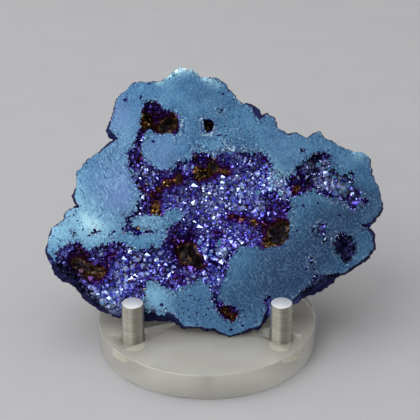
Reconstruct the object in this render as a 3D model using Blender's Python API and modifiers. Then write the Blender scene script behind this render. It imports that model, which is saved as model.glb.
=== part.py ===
"""An aura quartz geode standing on a clear acrylic disc.

The stone is one slice of a geode: a flat sawn face, a rough domed rind behind it, and hollows
lined with small crystals. It stands on its edge between steel pegs, leaning back on the rear one.
The origin is the centre of the disc's underside, and the sawn face looks towards -Y and up.
"""
import math
import random

import bmesh
import bpy
from mathutils import Vector, noise
from mathutils.geometry import delaunay_2d_cdt

# Every size below is in millimetres or degrees, and MM turns it to Blender's metres.
MM = 0.001

# The stand: a disc with three pegs in blind holes
DISC_DIAMETER = 80.0
DISC_THICKNESS = 10.0
DISC_EDGE_ROUND = 0.5
PEG_DIAMETER = 8.0
PEG_RISE = 15.0
PEG_SEAT = 6.0
PEG_EDGE_ROUND = 0.5
PEG_CIRCLE_RADIUS = 30.8
PEG_ANGLES = {"peg_front_left": 210, "peg_front_right": 330, "peg_rear": 90}
PEG_SIDES = 36
DISC_SIDES = 80

# The stone: how it stands, and how thick it is behind its sawn face
LEAN_BACK = 34.0
FOOT_FORWARD = 15.5
FOOT_ABOVE_DISC = 0.6
THICKNESS = 26.9
DOME_RUN = 31.0
RIND_DEPTH = 1.8
SHOULDER_DEPTH = 8.0
SHOULDER_INSET = 1.2
BACK_SPACING = 4.5

# The hollows and their crystals
HOLLOW_EDGE_DEPTH = 3.0
HOLLOW_DEPTH = 8.5
HOLLOW_RUN = 7.0
WALL_BEHIND_HOLLOW = 4.0
CRUST_THICKNESS = 2.4
CRUST_LIFT = 0.4
CRYSTAL_PITCHES = {"crystals_main_hollow": 3.4, "crystals_right_hollow": 2.6}
CRYSTAL_HEIGHTS = (1.0, 3.0)
SAW_CLEARANCE = 0.3

# Pieces that touch keep this gap
GAP = 0.35

# The least share of a mitre that a sharp corner keeps when its outline is moved in
CORNER_LIMIT = 0.35

# The outline of the stone as (right, up the face, width of the rind outside the sawn edge),
# from the stand's centre line and from the stone's foot, clockwise from the notch at the left
OUTLINE = [
    # upper left lobe
    (-34.5, 72, 1.5), (-36.5, 73.5, 2), (-37, 76, 1.5), (-35, 80.5, 0.5), (-33.5, 87, 0.5),
    (-31.5, 89, 0.5), (-28, 92.5, 0.5), (-25.5, 93.5, 0.5), (-18, 93.5, 0.5),
    # crown
    (-15, 95, 0.5), (-11.5, 98, 0.5), (-9.5, 98.5, 0.5), (-6, 98, 0.5), (-3, 96, 1),
    (-1.5, 94.5, 0.5), (3, 95, 0.5), (5, 94, 0.5), (7.5, 92, 0.5), (10.5, 87.5, 0.5),
    # right shoulder
    (13, 85.5, 0.5), (16.5, 85, 1), (19.5, 83, 2.5), (20, 81, 1.5), (22, 82, 0.5),
    (25, 80, 0.5), (26, 76.5, 0.5), (30, 74, 0.5), (31.5, 75, 0.5), (36.5, 73, 0.5),
    (38.5, 74.5, 0.5), (41, 75.5, 0.5), (43.5, 72.5, 0.5), (47, 71, 0.5), (51, 68.5, 0.5),
    (57, 67, 0.5), (59.5, 65, 0.5),
    # right side down to its notch
    (60.5, 59, 0.5), (63.5, 52, 0.5), (64.5, 47, 1), (62.5, 43.5, 1), (59.5, 39.5, 1.5),
    (61, 37, 1), (61, 31.5, 1), (59, 28.5, 1), (54, 25, 1), (49.5, 22, 1), (47, 21.5, 1.5),
    # chipped lower right
    (46, 19.5, 3), (42.5, 17, 3), (35, 14, 2.5), (32.5, 12, 2), (26, 9, 2), (22.5, 7.5, 2),
    # foot
    (19.5, 3.5, 1), (14.5, 1.5, 1), (8.5, 0, 0.5), (2.5, 2, 1), (-5, 3, 1), (-8.5, 3, 1),
    (-13, 5.5, 2.5), (-18, 5.5, 4.5), (-26, 6, 4.5), (-33, 7, 2.5),
    # broken lower left
    (-38, 9, 2), (-45, 13.5, 2), (-48, 18, 2), (-55.5, 22, 2), (-57.5, 27.5, 2),
    # left lobe
    (-59, 30, 1), (-58, 36, 0.5), (-57, 39.5, 0.5), (-52.5, 43, 0.5), (-52, 45.5, 0.5),
    (-50.5, 47, 0.5), (-48, 47.5, 1), (-49.5, 51, 1), (-48, 55, 0.5), (-47.5, 60.5, 0.5),
    (-45.5, 63, 0.5), (-40, 67.5, 0.5), (-37, 70.5, 1),
]

# The big branching hollow, clockwise from its top left end
MAIN_HOLLOW = [
    # upper left chamber
    (-23.5, 86.5), (-18.5, 86.5), (-15, 83), (-12, 82.5), (-10, 80), (-9.5, 74.5),
    (-11.5, 72.5), (-13, 74.5), (-18, 73.5), (-20.5, 74.5), (-23, 73),
    # down round the flat patch beside it
    (-23.5, 67.5), (-22.5, 64.5), (-18, 61.5), (-13, 61.5), (-10.5, 64.5), (-7.5, 64.5),
    # top edge of the middle
    (-6, 65.5), (-5.5, 68), (-2, 68), (2, 66), (7.5, 68), (14, 67.5), (21.5, 67.5),
    (23.5, 64), (24, 61), (29.5, 58), (32, 62), (35, 64.5),
    # round the right chamber
    (37, 66.5), (43.5, 68), (46.5, 63.5), (50, 60.5), (53.5, 60.5), (54, 55), (60, 49),
    (56, 46.5), (52.5, 45.5), (50, 49), (44.5, 50.5), (40, 52), (36.5, 53), (35, 51), (30.5, 50.5),
    # right edge of the middle and back along its lower edge
    (31, 46.5), (30, 43), (31, 38), (27.5, 33), (20.5, 31.5), (14.5, 32.5), (9.5, 30),
    (8, 27), (8, 24), (4.5, 16.5),
    # the slot that runs down to the foot
    (4.5, 13.5), (10.5, 11), (14.5, 9.5), (12, 8.5), (11.5, 5.5), (9, 4.5), (4, 7.5),
    (1, 13.5), (2, 16), (-1, 19), (-3, 20.5), (-7.5, 18), (-12.5, 16), (-20.5, 20),
    # broken lower edge of the left chamber
    (-23, 14.5), (-31, 10.5), (-36, 11.5), (-44.5, 19), (-52, 23.5), (-55, 27),
    # upper edge of the left chamber
    (-51, 31.5), (-46.5, 35.5), (-43, 31.5), (-38.5, 34), (-31.5, 35), (-26.5, 32), (-23.5, 32),
    (-20.5, 34), (-17.5, 33), (-15.5, 36), (-15.5, 40.5),
    # round the hook of solid quartz
    (-19, 42.3), (-26, 42.5), (-26.5, 40), (-20, 40.5), (-18.5, 39), (-22, 37), (-27, 36), (-31, 40.5),
    # left edge back to the start
    (-27, 46.5), (-24.5, 52), (-28, 58.5), (-30, 66.5), (-26, 73), (-24.5, 79),
]
ISLAND_IN_HOLLOW = [
    (-14.5, 45), (-12.5, 46), (-10, 46), (-8.5, 44.5), (-9.5, 43), (-11.5, 41.5), (-13, 42), (-14.8, 43.6),
]
RIGHT_HOLLOW = [
    (45.5, 34), (46.5, 36), (48.5, 38), (51, 38), (53, 37), (54, 34), (54, 30),
    (52.5, 28), (51, 26.5), (49.5, 27), (48, 29), (46, 30.5),
]

# Deeper wells in the floor of the big hollow, as (right, up, radius, extra depth)
WELLS = [
    (-17, 80, 7, 6), (26.5, 39, 6, 5), (-7, 31, 7, 5), (-46, 28, 8, 3.5), (8, 9.5, 4, 2.5),
    (1.5, 64, 6, 2.5), (39, 55, 5, 2.5),
]

# Shallow pits and cracks in the sawn face, each as its depth and its outline
PITS = {
    "small_hole": (5.5, [(-1.5, 79.5), (0.5, 79.5), (2, 79), (2.5, 77.5), (2, 75.5), (0.5, 74), (-1, 74.5)]),
    "pit_top": (2.5, [(3.5, 83), (4.5, 83.5), (6, 83), (5, 81.5), (4, 81.5)]),
    "pit_right": (2, [(34, 69), (36, 68.5), (36, 67), (34, 67)]),
    "pit_left": (2, [(-49.5, 39), (-47, 39), (-47.5, 37), (-49.5, 37)]),
    "pit_branched": (2.5, [(-43.5, 36.5), (-42, 38), (-40.5, 40), (-38.5, 39), (-39, 36.8), (-41, 36.7)]),
    "slit_left": (2, [(-33.5, 39), (-32.7, 38.2), (-37, 35.4), (-37.7, 36)]),
    "crack_right": (3, [(56.5, 41.5), (58, 41.5), (63, 40.5), (64, 38.5), (57.5, 39.5), (56, 38)]),
    "slit_right": (2.5, [(37.3, 29.5), (39, 29.5), (38.8, 24), (37.3, 25)]),
    "pitted_patch": (1.8, [(38, 38), (40.5, 41.5), (43, 41), (43.5, 37), (44.6, 34.5), (43, 33.5), (40.5, 35.5)]),
    "crack_at_rim": (2.5, [(20, 12.5), (21.5, 16), (23.5, 15), (24.5, 7), (22.5, 6), (21.5, 11.5)]),
}

# Where the sawn face has broken away down to the rind, each as its depth and its outline
BREAKS = {
    "broken_lower_left": (2.4, [
        (-62, 29), (-56.5, 28.5), (-53.5, 26.5), (-49.5, 23), (-44.5, 20), (-39, 18), (-32.5, 16.5),
        (-22, 16), (-22, 13), (-23, 9), (-25, 0), (-35, 0), (-46, 8), (-62, 16)]),
    "chip_lower_right": (2.2, [
        (38.5, 23), (44, 22.8), (52, 22), (50, 16), (40, 11), (32, 8), (30, 12.5), (33.5, 16), (37.5, 19)]),
}

# Lumps of the rind and of the hollows' floors, as (distance between lumps, height)
RIND_LUMPS = ((17.0, 3.2), (8.0, 1.8), (4.3, 0.8))
FLOOR_LUMPS = ((9.0, 1.4),)


# The outlines and the fields of height over them

def turned(loop, anticlockwise):
    """The loop in the wanted direction, seen from in front of the sawn face"""
    area = sum(a[0] * b[1] - b[0] * a[1] for a, b in zip(loop, loop[1:] + loop[:1]))
    return loop if (area > 0) == anticlockwise else loop[::-1]


def moved_in(loop, distances):
    """The loop moved towards its left hand side, by a distance for each point, further at sharp corners"""
    result = []
    for i, point in enumerate(loop):
        here = Vector(point)
        arriving = (here - Vector(loop[i - 1])).normalized()
        leaving = (Vector(loop[(i + 1) % len(loop)]) - here).normalized()
        along = (arriving + leaving).normalized()
        moved = here + Vector((-along.y, along.x)) * distances[i] / max(along.dot(leaving), CORNER_LIMIT)
        result.append(tuple(moved))
    return result


def is_inside(point, loop):
    """Whether the point is inside the loop"""
    crossings = 0
    for a, b in zip(loop, loop[1:] + loop[:1]):
        if (a[1] > point[1]) != (b[1] > point[1]):
            crossings += point[0] < a[0] + (point[1] - a[1]) * (b[0] - a[0]) / (b[1] - a[1])
    return crossings % 2 == 1


def edge_distance(point, loops):
    """The distance from the point to the nearest edge of the loops"""
    nearest = math.inf
    for loop in loops:
        for a, b in zip(loop, loop[1:] + loop[:1]):
            run_x, run_y = b[0] - a[0], b[1] - a[1]
            share = ((point[0] - a[0]) * run_x + (point[1] - a[1]) * run_y) / (run_x ** 2 + run_y ** 2)
            share = min(max(share, 0.0), 1.0)
            gap = math.hypot(a[0] + share * run_x - point[0], a[1] + share * run_y - point[1])
            nearest = min(nearest, gap)
    return nearest


def in_body(point, loops):
    """Whether the point is inside the first loop and outside the others"""
    return is_inside(point, loops[0]) and not any(is_inside(point, hole) for hole in loops[1:])


def scattered(loops, spacing, margin, rng):
    """Points of an uneven triangular grid, no nearer than the margin to the loops"""
    columns = [p[0] for p in loops[0]]
    rows = [p[1] for p in loops[0]]
    row_step = spacing * math.sqrt(3) / 2
    points = []
    for row in range(int((max(rows) - min(rows)) / row_step) + 1):
        for column in range(int((max(columns) - min(columns)) / spacing) + 2):
            x = min(columns) + (column + 0.5 * (row % 2)) * spacing + rng.uniform(-0.2, 0.2) * spacing
            y = min(rows) + row * row_step + rng.uniform(-0.2, 0.2) * spacing
            if in_body((x, y), loops) and edge_distance((x, y), loops) > margin:
                points.append((x, y))
    return points


def triangles_between(loops, inner):
    """The triangles that fill the first loop around the others, using the inner points too"""
    points = [Vector(p) for loop in loops for p in loop] + [Vector(p) for p in inner]
    edges = []
    first = 0
    for loop in loops:
        edges += [(first + i, first + (i + 1) % len(loop)) for i in range(len(loop))]
        first += len(loop)
    corners, _, faces, originals, _, _ = delaunay_2d_cdt(points, edges, [], 0, 1e-7)
    names = [source[0] for source in originals]
    triangles = []
    for face in faces:
        middle = sum((corners[i] for i in face), Vector((0.0, 0.0))) / 3
        if in_body(middle, loops):
            triangles.append([names[i] for i in face])
    return triangles


def lumps(point, layers, seed):
    """Uneven height made of one or more sizes of lump"""
    height = 0.0
    for spacing, rise in layers:
        height += rise * noise.noise(Vector((point[0] / spacing, point[1] / spacing, seed)))
    return height


def resting_depth(point):
    """How far behind the sawn face a point meets the stone's flat resting spot on the disc"""
    above = FOOT_ABOVE_DISC - GAP + point[1] * math.cos(math.radians(LEAN_BACK))
    return max(above, 0.0) / math.sin(math.radians(LEAN_BACK))


SAWN_RIM = turned([(x, y) for x, y, _ in OUTLINE], True)
RIND_WIDTHS = [width for _, _, width in OUTLINE]
if SAWN_RIM[0] != OUTLINE[0][:2]:
    RIND_WIDTHS = RIND_WIDTHS[::-1]
SHOULDER = moved_in(SAWN_RIM, [SHOULDER_INSET] * len(SAWN_RIM))


def back_depth(point):
    """How deep the domed rind lies behind the sawn face"""
    share = min(edge_distance(point, [SHOULDER]) / DOME_RUN, 1.0)
    dome = SHOULDER_DEPTH + (THICKNESS - SHOULDER_DEPTH) * math.sqrt(1 - (1 - share) ** 2)
    return min(dome + lumps(point, RIND_LUMPS, 3.0) * min(4 * share, 1.0), resting_depth(point))


def hollow_depth(point, loops):
    """How deep the rock floor of a hollow lies behind the sawn face"""
    share = min(edge_distance(point, loops) / HOLLOW_RUN, 1.0)
    depth = HOLLOW_EDGE_DEPTH + (HOLLOW_DEPTH - HOLLOW_EDGE_DEPTH) * share
    for x, y, radius, extra in WELLS:
        depth += extra * math.exp(-((point[0] - x) ** 2 + (point[1] - y) ** 2) / radius ** 2)
    depth += lumps(point, FLOOR_LUMPS, 8.0) * share
    return min(depth, back_depth(point) - WALL_BEHIND_HOLLOW)


# Building closed bodies and finishing them

def in_collection(obj, name):
    """Puts the object in the named collection alone"""
    group = bpy.data.collections.get(name) or bpy.data.collections.new(name)
    if group.name not in bpy.context.scene.collection.children:
        bpy.context.scene.collection.children.link(group)
    for old in list(obj.users_collection):
        old.objects.unlink(obj)
    group.objects.link(obj)


def finish(obj, colour, roughness, metallic=0.0, transmission=0.0):
    """Gives the object its own material"""
    material = bpy.data.materials.new(obj.name)
    material.use_nodes = True
    shader = material.node_tree.nodes["Principled BSDF"]
    shader.inputs["Base Color"].default_value = (*colour, 1.0)
    shader.inputs["Roughness"].default_value = roughness
    shader.inputs["Metallic"].default_value = metallic
    shader.inputs["Transmission Weight"].default_value = transmission
    obj.data.materials.append(material)


def add_sheet(bm, facing_front, loops, inner, height, laid_out_on=None):
    """Adds the triangles of one height field, and returns its corners loop by loop

    A sheet that has to lie close to another takes its triangles from that one's loops.
    """
    flat = [p for loop in loops for p in loop] + inner
    corners = [bm.verts.new((p[0] * MM, p[1] * MM, height(p) * MM)) for p in flat]
    for triangle in triangles_between(laid_out_on or loops, inner):
        a, b, c = (corners[i] for i in triangle)
        bm.faces.new((a, b, c) if facing_front else (c, b, a))
    rows = []
    first = 0
    for loop in loops:
        rows.append(corners[first:first + len(loop)])
        first += len(loop)
    return rows


def add_band(bm, front, back):
    """Joins two rows of corners by triangles"""
    for i in range(len(front)):
        j = (i + 1) % len(front)
        bm.faces.new((back[i], back[j], front[j]))
        bm.faces.new((back[i], front[j], front[i]))


def body_between(name, front, back, rings=()):
    """A closed body between two height fields, with rings of its rim between them if it has any"""
    bm = bmesh.new()
    front_rows = add_sheet(bm, True, *front)
    back_rows = add_sheet(bm, False, *back)
    for number, (front_row, back_row) in enumerate(zip(front_rows, back_rows)):
        rows = [front_row]
        if number == 0:
            for loop, height in rings:
                rows.append([bm.verts.new((p[0] * MM, p[1] * MM, height(p) * MM)) for p in loop])
        rows.append(back_row)
        for above, below in zip(rows, rows[1:]):
            add_band(bm, above, below)
    bmesh.ops.recalc_face_normals(bm, faces=bm.faces)
    mesh = bpy.data.meshes.new(name)
    bm.to_mesh(mesh)
    bm.free()
    obj = bpy.data.objects.new(name, mesh)
    obj.parent = bpy.data.objects["sawn_face"]
    return obj


def cut_from(target, cutter):
    """Cuts the cutter out of the target"""
    cutter.hide_render = True
    cutter.display_type = "WIRE"
    in_collection(cutter, "cutters")
    cut = target.modifiers.new(cutter.name, "BOOLEAN")
    cut.operation = "DIFFERENCE"
    cut.solver = "EXACT"
    cut.object = cutter


# The stone and its crystals

def sawn_face():
    """The empty that carries the stone: X to the right, Y up the sawn face, Z out of it"""
    carrier = bpy.data.objects.new("sawn_face", None)
    carrier.location = (0, -FOOT_FORWARD * MM, (DISC_THICKNESS + FOOT_ABOVE_DISC) * MM)
    carrier.rotation_euler = (math.radians(90 - LEAN_BACK), 0, 0)
    in_collection(carrier, "aura_quartz_geode")


def stone():
    """The slice of stone, before its hollows are cut"""
    rng = random.Random(11)
    sawn = moved_in(SAWN_RIM, RIND_WIDTHS)
    inner = scattered([SHOULDER], BACK_SPACING, BACK_SPACING / 3, rng)
    obj = body_between(
        "geode",
        ([sawn], [], lambda p: 0.0),
        ([SHOULDER], inner, lambda p: -back_depth(p)),
        [(SAWN_RIM, lambda p: -min(RIND_DEPTH, max(resting_depth(p), 0.3)))],
    )
    in_collection(obj, "aura_quartz_geode")
    finish(obj, (0.16, 0.27, 0.38), 0.35, metallic=0.6)
    return obj


def hollow(rock, name, loops, seed):
    """Cuts a hollow in the rock and lines it with one crust of crystals"""
    rng = random.Random(seed)
    pitch = CRYSTAL_PITCHES[name]
    loops = [turned(loop, number == 0) for number, loop in enumerate(loops)]
    floor_points = scattered(loops, 1.1 * pitch, 0.35 * pitch, rng)
    cutter = body_between(
        name + "_cutter",
        (loops, [], lambda p: 2.0),
        (loops, floor_points, lambda p: -hollow_depth(p, loops)),
    )
    cut_from(rock, cutter)

    crust_loops = [moved_in(loop, [GAP] * len(loop)) for loop in loops]
    wall_feet = dict(zip(sum(crust_loops, []), sum(loops, [])))
    tips = scattered(crust_loops, pitch, 0.3 * pitch, rng)
    rises = {tip: rng.uniform(*CRYSTAL_HEIGHTS) for tip in tips}
    corners = [p for loop in crust_loops for p in loop] + tips
    valleys = []
    for triangle in triangles_between(crust_loops, tips):
        middle = tuple(sum(corners[i][axis] for i in triangle) / 3 for axis in (0, 1))
        if edge_distance(middle, crust_loops) > 0.2 * pitch:
            valleys.append(middle)

    def crystal_height(p):
        surface = CRUST_THICKNESS - hollow_depth(p, loops) + rises.get(p, 0.0)
        return min(surface, -SAW_CLEARANCE)

    crust = body_between(
        name,
        (crust_loops, tips + valleys, crystal_height),
        (crust_loops, floor_points, lambda p: CRUST_LIFT - hollow_depth(wall_feet.get(p, p), loops), loops),
    )
    in_collection(crust, "aura_quartz_geode")
    finish(crust, (0.10, 0.07, 0.32), 0.15, metallic=0.5)


def face_cut(rock, name, depth, loop):
    """Cuts a pit, crack or break of about the given depth in the sawn face"""
    loops = [turned(loop, True)]
    inner = scattered(loops, 4.0, 1.2, random.Random(5))
    cutter = body_between(
        name,
        (loops, [], lambda p: 2.0),
        (loops, inner, lambda p: -depth + lumps(p, ((5.0, 0.25 * depth),), 5.0)),
    )
    cut_from(rock, cutter)


# The stand

def cylinder(name, diameter, low, high, x, y, sides):
    """An upright cylinder between two heights"""
    bpy.ops.mesh.primitive_cylinder_add(
        vertices=sides, radius=diameter / 2 * MM, depth=(high - low) * MM,
        location=(x * MM, y * MM, (low + high) / 2 * MM))
    obj = bpy.context.object
    obj.name = name
    return obj


def round_edges(obj, width):
    """Rounds the edges of a turned piece and shades it smooth"""
    bevel = obj.modifiers.new("edge", "BEVEL")
    bevel.width = width * MM
    bevel.segments = 1
    bevel.limit_method = "ANGLE"
    obj.data.shade_smooth()
    obj.data.set_sharp_from_angle(angle=math.radians(40))


def stand():
    """The disc and its pegs"""
    disc = cylinder("stand_disc", DISC_DIAMETER, 0, DISC_THICKNESS, 0, 0, DISC_SIDES)
    round_edges(disc, DISC_EDGE_ROUND)
    in_collection(disc, "aura_quartz_geode")
    finish(disc, (0.85, 0.84, 0.80), 0.1, transmission=1.0)
    for name, angle in PEG_ANGLES.items():
        x = PEG_CIRCLE_RADIUS * math.cos(math.radians(angle))
        y = PEG_CIRCLE_RADIUS * math.sin(math.radians(angle))
        seat = DISC_THICKNESS - PEG_SEAT
        peg = cylinder(name, PEG_DIAMETER, seat + GAP, DISC_THICKNESS + PEG_RISE, x, y, PEG_SIDES)
        round_edges(peg, PEG_EDGE_ROUND)
        in_collection(peg, "aura_quartz_geode")
        finish(peg, (0.62, 0.61, 0.59), 0.3, metallic=1.0)
        hole = cylinder(name + "_seat", PEG_DIAMETER + 2 * GAP, seat, DISC_THICKNESS + 2, x, y, PEG_SIDES)
        cut_from(disc, hole)


for old_object in list(bpy.data.objects):
    bpy.data.objects.remove(old_object)
sawn_face()
geode = stone()
hollow(geode, "crystals_main_hollow", [MAIN_HOLLOW, ISLAND_IN_HOLLOW], 21)
hollow(geode, "crystals_right_hollow", [RIGHT_HOLLOW], 22)
for break_name, (break_depth, break_loop) in BREAKS.items():
    face_cut(geode, break_name, break_depth, break_loop)
for pit_name, (pit_depth, pit_loop) in PITS.items():
    face_cut(geode, pit_name, pit_depth, pit_loop)
stand()
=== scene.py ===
"""An aura quartz geode leaning on a clear acrylic stand with steel pegs.

The stone and its crystals are built in the coordinates of the stone's own sawn face, in millimetres:
X to the right, Y up the face, Z out of it. made_object moves each to its place on the stand.
"""
import math
import random

import bmesh
import bpy
from mathutils import Matrix, Vector, noise
from mathutils.bvhtree import BVHTree
from mathutils.geometry import delaunay_2d_cdt
from mathutils.kdtree import KDTree


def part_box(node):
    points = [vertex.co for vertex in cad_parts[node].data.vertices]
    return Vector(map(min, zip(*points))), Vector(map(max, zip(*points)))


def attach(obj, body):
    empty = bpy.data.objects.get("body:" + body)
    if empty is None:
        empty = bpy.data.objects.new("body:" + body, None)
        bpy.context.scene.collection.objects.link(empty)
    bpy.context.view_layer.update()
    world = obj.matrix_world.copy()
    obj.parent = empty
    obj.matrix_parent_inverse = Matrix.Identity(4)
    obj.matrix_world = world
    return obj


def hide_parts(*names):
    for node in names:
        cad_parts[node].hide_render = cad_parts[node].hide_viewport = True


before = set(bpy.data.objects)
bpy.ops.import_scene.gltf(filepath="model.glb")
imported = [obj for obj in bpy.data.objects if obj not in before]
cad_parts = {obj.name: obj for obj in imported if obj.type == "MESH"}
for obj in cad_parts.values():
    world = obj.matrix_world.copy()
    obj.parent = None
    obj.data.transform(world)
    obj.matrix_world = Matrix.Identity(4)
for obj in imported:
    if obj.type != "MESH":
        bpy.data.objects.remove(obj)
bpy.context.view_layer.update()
MM = 0.001


# The stone
# A slice of an agate and quartz geode, sawn flat and sanded on its face, with its rough rind all
# round and hollows down to the druse. Titanium vapour was baked onto it from the front, so the
# film is thickest, and steel blue, on what faces out of the sawn face.

LEAN_BACK = math.radians(34)
FACE_ORIGIN = Vector((0, -15.5, 10.6))
SAW_LEVEL = -0.01
# The steps between points on the loops, in the hollows, on the sawn face and on the back
LOOP_STEP, FINE_STEP, COARSE_STEP, BACK_STEP = 0.4, 0.55, 1.3, 1.1

face_to_world = Matrix.Diagonal((MM, MM, MM, 1)) @ Matrix.Translation(FACE_ORIGIN) @ Matrix.Rotation(
    math.pi / 2 - LEAN_BACK, 4, "X")


def border_loops(bm, belongs):
    """The closed borders between the faces that belong and the others, as lists of points"""
    after = {}
    for edge in bm.edges:
        sides = [belongs(face) for face in edge.link_faces]
        if len(sides) == 2 and sides[0] != sides[1]:
            a, b = edge.verts
            after.setdefault(a, []).append(b)
            after.setdefault(b, []).append(a)
    loops = []
    while after:
        here = next(iter(after))
        loop = []
        while after.get(here):
            loop.append(here.co.copy())
            onward = after[here].pop()
            after[onward].remove(here)
            if not after[here]:
                del after[here]
            here = onward
        after.pop(here, None)
        if len(loop) > 2:
            loops.append(loop)
    return loops


def evenly_spaced(loop, step):
    """The closed loop with its points at even steps"""
    ends = loop[1:] + loop[:1]
    lengths = [(b - a).length for a, b in zip(loop, ends)]
    total = sum(lengths)
    count = max(round(total / step), 6)
    result = []
    reached, index = 0.0, 0
    for i in range(count):
        wanted = total * i / count
        while index < len(loop) - 1 and reached + lengths[index] < wanted:
            reached += lengths[index]
            index += 1
        share = (wanted - reached) / max(lengths[index], 1e-9)
        result.append(loop[index].lerp(ends[index], min(share, 1.0)))
    return result


def span(loop):
    """How wide the loop is"""
    return max(p.x for p in loop) - min(p.x for p in loop)


def tree_of(points):
    """A search tree of the points, laid flat"""
    tree = KDTree(len(points))
    for i, p in enumerate(points):
        tree.insert((p[0], p[1], 0.0), i)
    tree.balance()
    return tree


def distance(tree, x, y):
    """How far the point is from the nearest point of the tree"""
    return tree.find((x, y, 0.0))[2]


def fade(value, low, high):
    """0 below low and 1 above high, smooth between them"""
    share = min(max((value - low) / (high - low), 0.0), 1.0)
    return share * share * (3 - 2 * share)


# Places where the sawn face differs from the solid's, as (height, corners): the slit behind the hook at the
# left, the arm of solid quartz over it, and the corner of the broken hollow at the far left
RESHAPED = [
    (-2.4, [
        (-25.9, 47.9), (-28.0, 45.7), (-29.9, 43.2), (-31.3, 40.6), (-30.6, 38.1), (-28.4, 37.0),
        (-25.9, 37.7), (-22.6, 37.0), (-18.2, 37.0), (-16.8, 38.1), (-18.9, 39.2), (-21.9, 38.8),
        (-25.1, 39.2), (-27.3, 39.9), (-27.7, 42.1), (-27.0, 44.3), (-25.1, 46.1), (-24.0, 47.5),
    ]),
    (0.0, [
        (-27.0, 42.1), (-25.5, 43.2), (-23.3, 43.7), (-19.3, 43.5), (-16.0, 43.4), (-14.9, 45.4),
        (-12.0, 46.3), (-9.0, 45.4), (-9.3, 43.0), (-12.0, 41.5), (-14.9, 40.6), (-15.7, 38.8),
        (-17.5, 39.5), (-21.1, 39.3), (-24.0, 39.9), (-26.6, 40.3),
    ]),
    (-2.6, [
        (-55.4, 30.4), (-53.2, 32.6), (-50.3, 34.4), (-47.4, 35.5), (-45.2, 34.4), (-43.7, 32.2),
        (-45.2, 29.7), (-50.3, 27.5), (-54.6, 27.5),
    ]),
]
# How near the sawn face a point has to be for the face to touch it, tried in directions a radian apart
TOUCHING, TRIED = 0.25, 7
# Heights over and under the whole stone, from which it is probed
ABOVE_STONE, BELOW_STONE = 20, -60


def inside(x, y, corners):
    """Whether the point is inside the polygon"""
    crossings = 0
    for (ax, ay), (bx, by) in zip(corners, corners[1:] + corners[:1]):
        if (ay > y) != (by > y) and x < ax + (y - ay) * (bx - ax) / (by - ay):
            crossings += 1
    return crossings % 2 == 1


WELD_DISTANCE = 2e-6
FLATNESS = 0.02
# The rim is where the solid's faces begin to look backwards
LOOKS_BACK = -0.05

cad = bmesh.new()
cad.from_mesh(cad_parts["geode"].data)
bmesh.ops.remove_doubles(cad, verts=cad.verts, dist=WELD_DISTANCE)
cad.transform(face_to_world.inverted())
cad.normal_update()
cad_solid = BVHTree.FromBMesh(cad)
sawn_loops = border_loops(cad, lambda face: all(abs(v.co.z) < FLATNESS for v in face.verts))
sawn_loops += [[Vector((*corner, 0.0)) for corner in corners] for _, corners in RESHAPED]
sawn_loops = sorted((evenly_spaced(loop, LOOP_STEP) for loop in sawn_loops), key=span)
outer_loop = max(border_loops(cad, lambda face: face.normal.z > LOOKS_BACK), key=span)
outer_loop = evenly_spaced(outer_loop, LOOP_STEP)
cad.free()
rim_tree = tree_of(outer_loop)


def front_height(x, y):
    """How high the stone reaches at a point, or None beside it"""
    hit = cad_solid.ray_cast(Vector((x, y, ABOVE_STONE)), Vector((0, 0, -1)))[0]
    if hit is None:
        return None
    height = hit.z
    for level, corners in RESHAPED:
        if inside(x, y, corners):
            height = 0.0 if level == 0.0 else min(height, level)
    return height


def by_sawn_face(x, y):
    """Whether the sawn face touches the place"""
    around = (front_height(x + TOUCHING * math.cos(i), y + TOUCHING * math.sin(i)) for i in range(TRIED))
    return any(height is not None and height > SAW_LEVEL for height in around)


def back_height(x, y):
    """How low the CAD solid reaches at a point, or None beside it"""
    hit = cad_solid.ray_cast(Vector((x, y, BELOW_STONE)), Vector((0, 0, 1)))[0]
    return hit.z if hit else None


# Places where the edge of the sawn face was ground off, as (right, up, radius, width of the bevel)
GROUND_EDGES = [(-8.0, 97.0, 10.0, 1.4), (55.5, 67.0, 4.5, 1.3)]
GROUND_DEPTH, LEAST_BEVEL = 1.0, 0.2


def ground_width(x, y):
    """How wide the ground bevel of the face's edge is near a point"""
    return sum(width * (1 - fade(math.hypot(x - u, y - v), 0.75 * radius, radius))
               for u, v, radius, width in GROUND_EDGES)


# The edge of the face moves in where it was ground
face_edge = sawn_loops[-1]
for number, point in enumerate(face_edge):
    gap = distance(rim_tree, point.x, point.y)
    inwards = ground_width(point.x, point.y) - gap
    if inwards > 0:
        away = point - outer_loop[rim_tree.find((point.x, point.y, 0.0))[1]]
        away.z = 0.0
        face_edge[number] = point + away.normalized() * inwards
for point in outer_loop:
    if ground_width(point.x, point.y) > LEAST_BEVEL:
        point.z = -GROUND_DEPTH

# Pinholes in the sawn face, as (right, up, radius), and patches of smaller ones, as (right, up, radius,
# number)
PINHOLES = [
    (-24.2, 87.6, 0.75), (-29.6, 86.4, 0.7), (-21.5, 72.5, 0.5), (-19.6, 71, 0.6), (-33, 70.8, 0.6),
    (-14.6, 74, 0.6), (-27.6, 76.8, 0.5), (8.2, 83, 0.4), (4.6, 73.5, 0.6), (14, 71, 0.5),
    (40.5, 48.5, 0.6), (35, 47.6, 0.7), (-30.4, 44.6, 0.6), (-34.6, 44.9, 0.5), (32.7, 38.5, 0.7),
    (8.6, 2.2, 0.5), (-3.5, 8.6, 0.6), (-16.2, 11.6, 0.7), (-3.2, 13, 0.5), (36, 24.5, 0.5),
]
PINHOLE_PATCHES = [
    (-12, 13, 8, 26), (-3, 7, 7, 22), (-51, 40, 6, 22), (9, 89, 5, 14), (42, 36, 5, 12), (-55, 33, 3, 8),
    (4, 74, 7, 12), (49, 49, 6, 10), (12, 5, 8, 10),
]
SMALL_PINHOLES = (0.22, 0.5)
PINHOLE_DEPTH, PINHOLE_CORNERS, PINHOLE_UNEVENNESS = 0.9, 7, (0.75, 1.25)
# The least stone between a pinhole and an edge, and between two pinholes
PINHOLE_GAP, PINHOLES_APART = 0.3, 0.25

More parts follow.
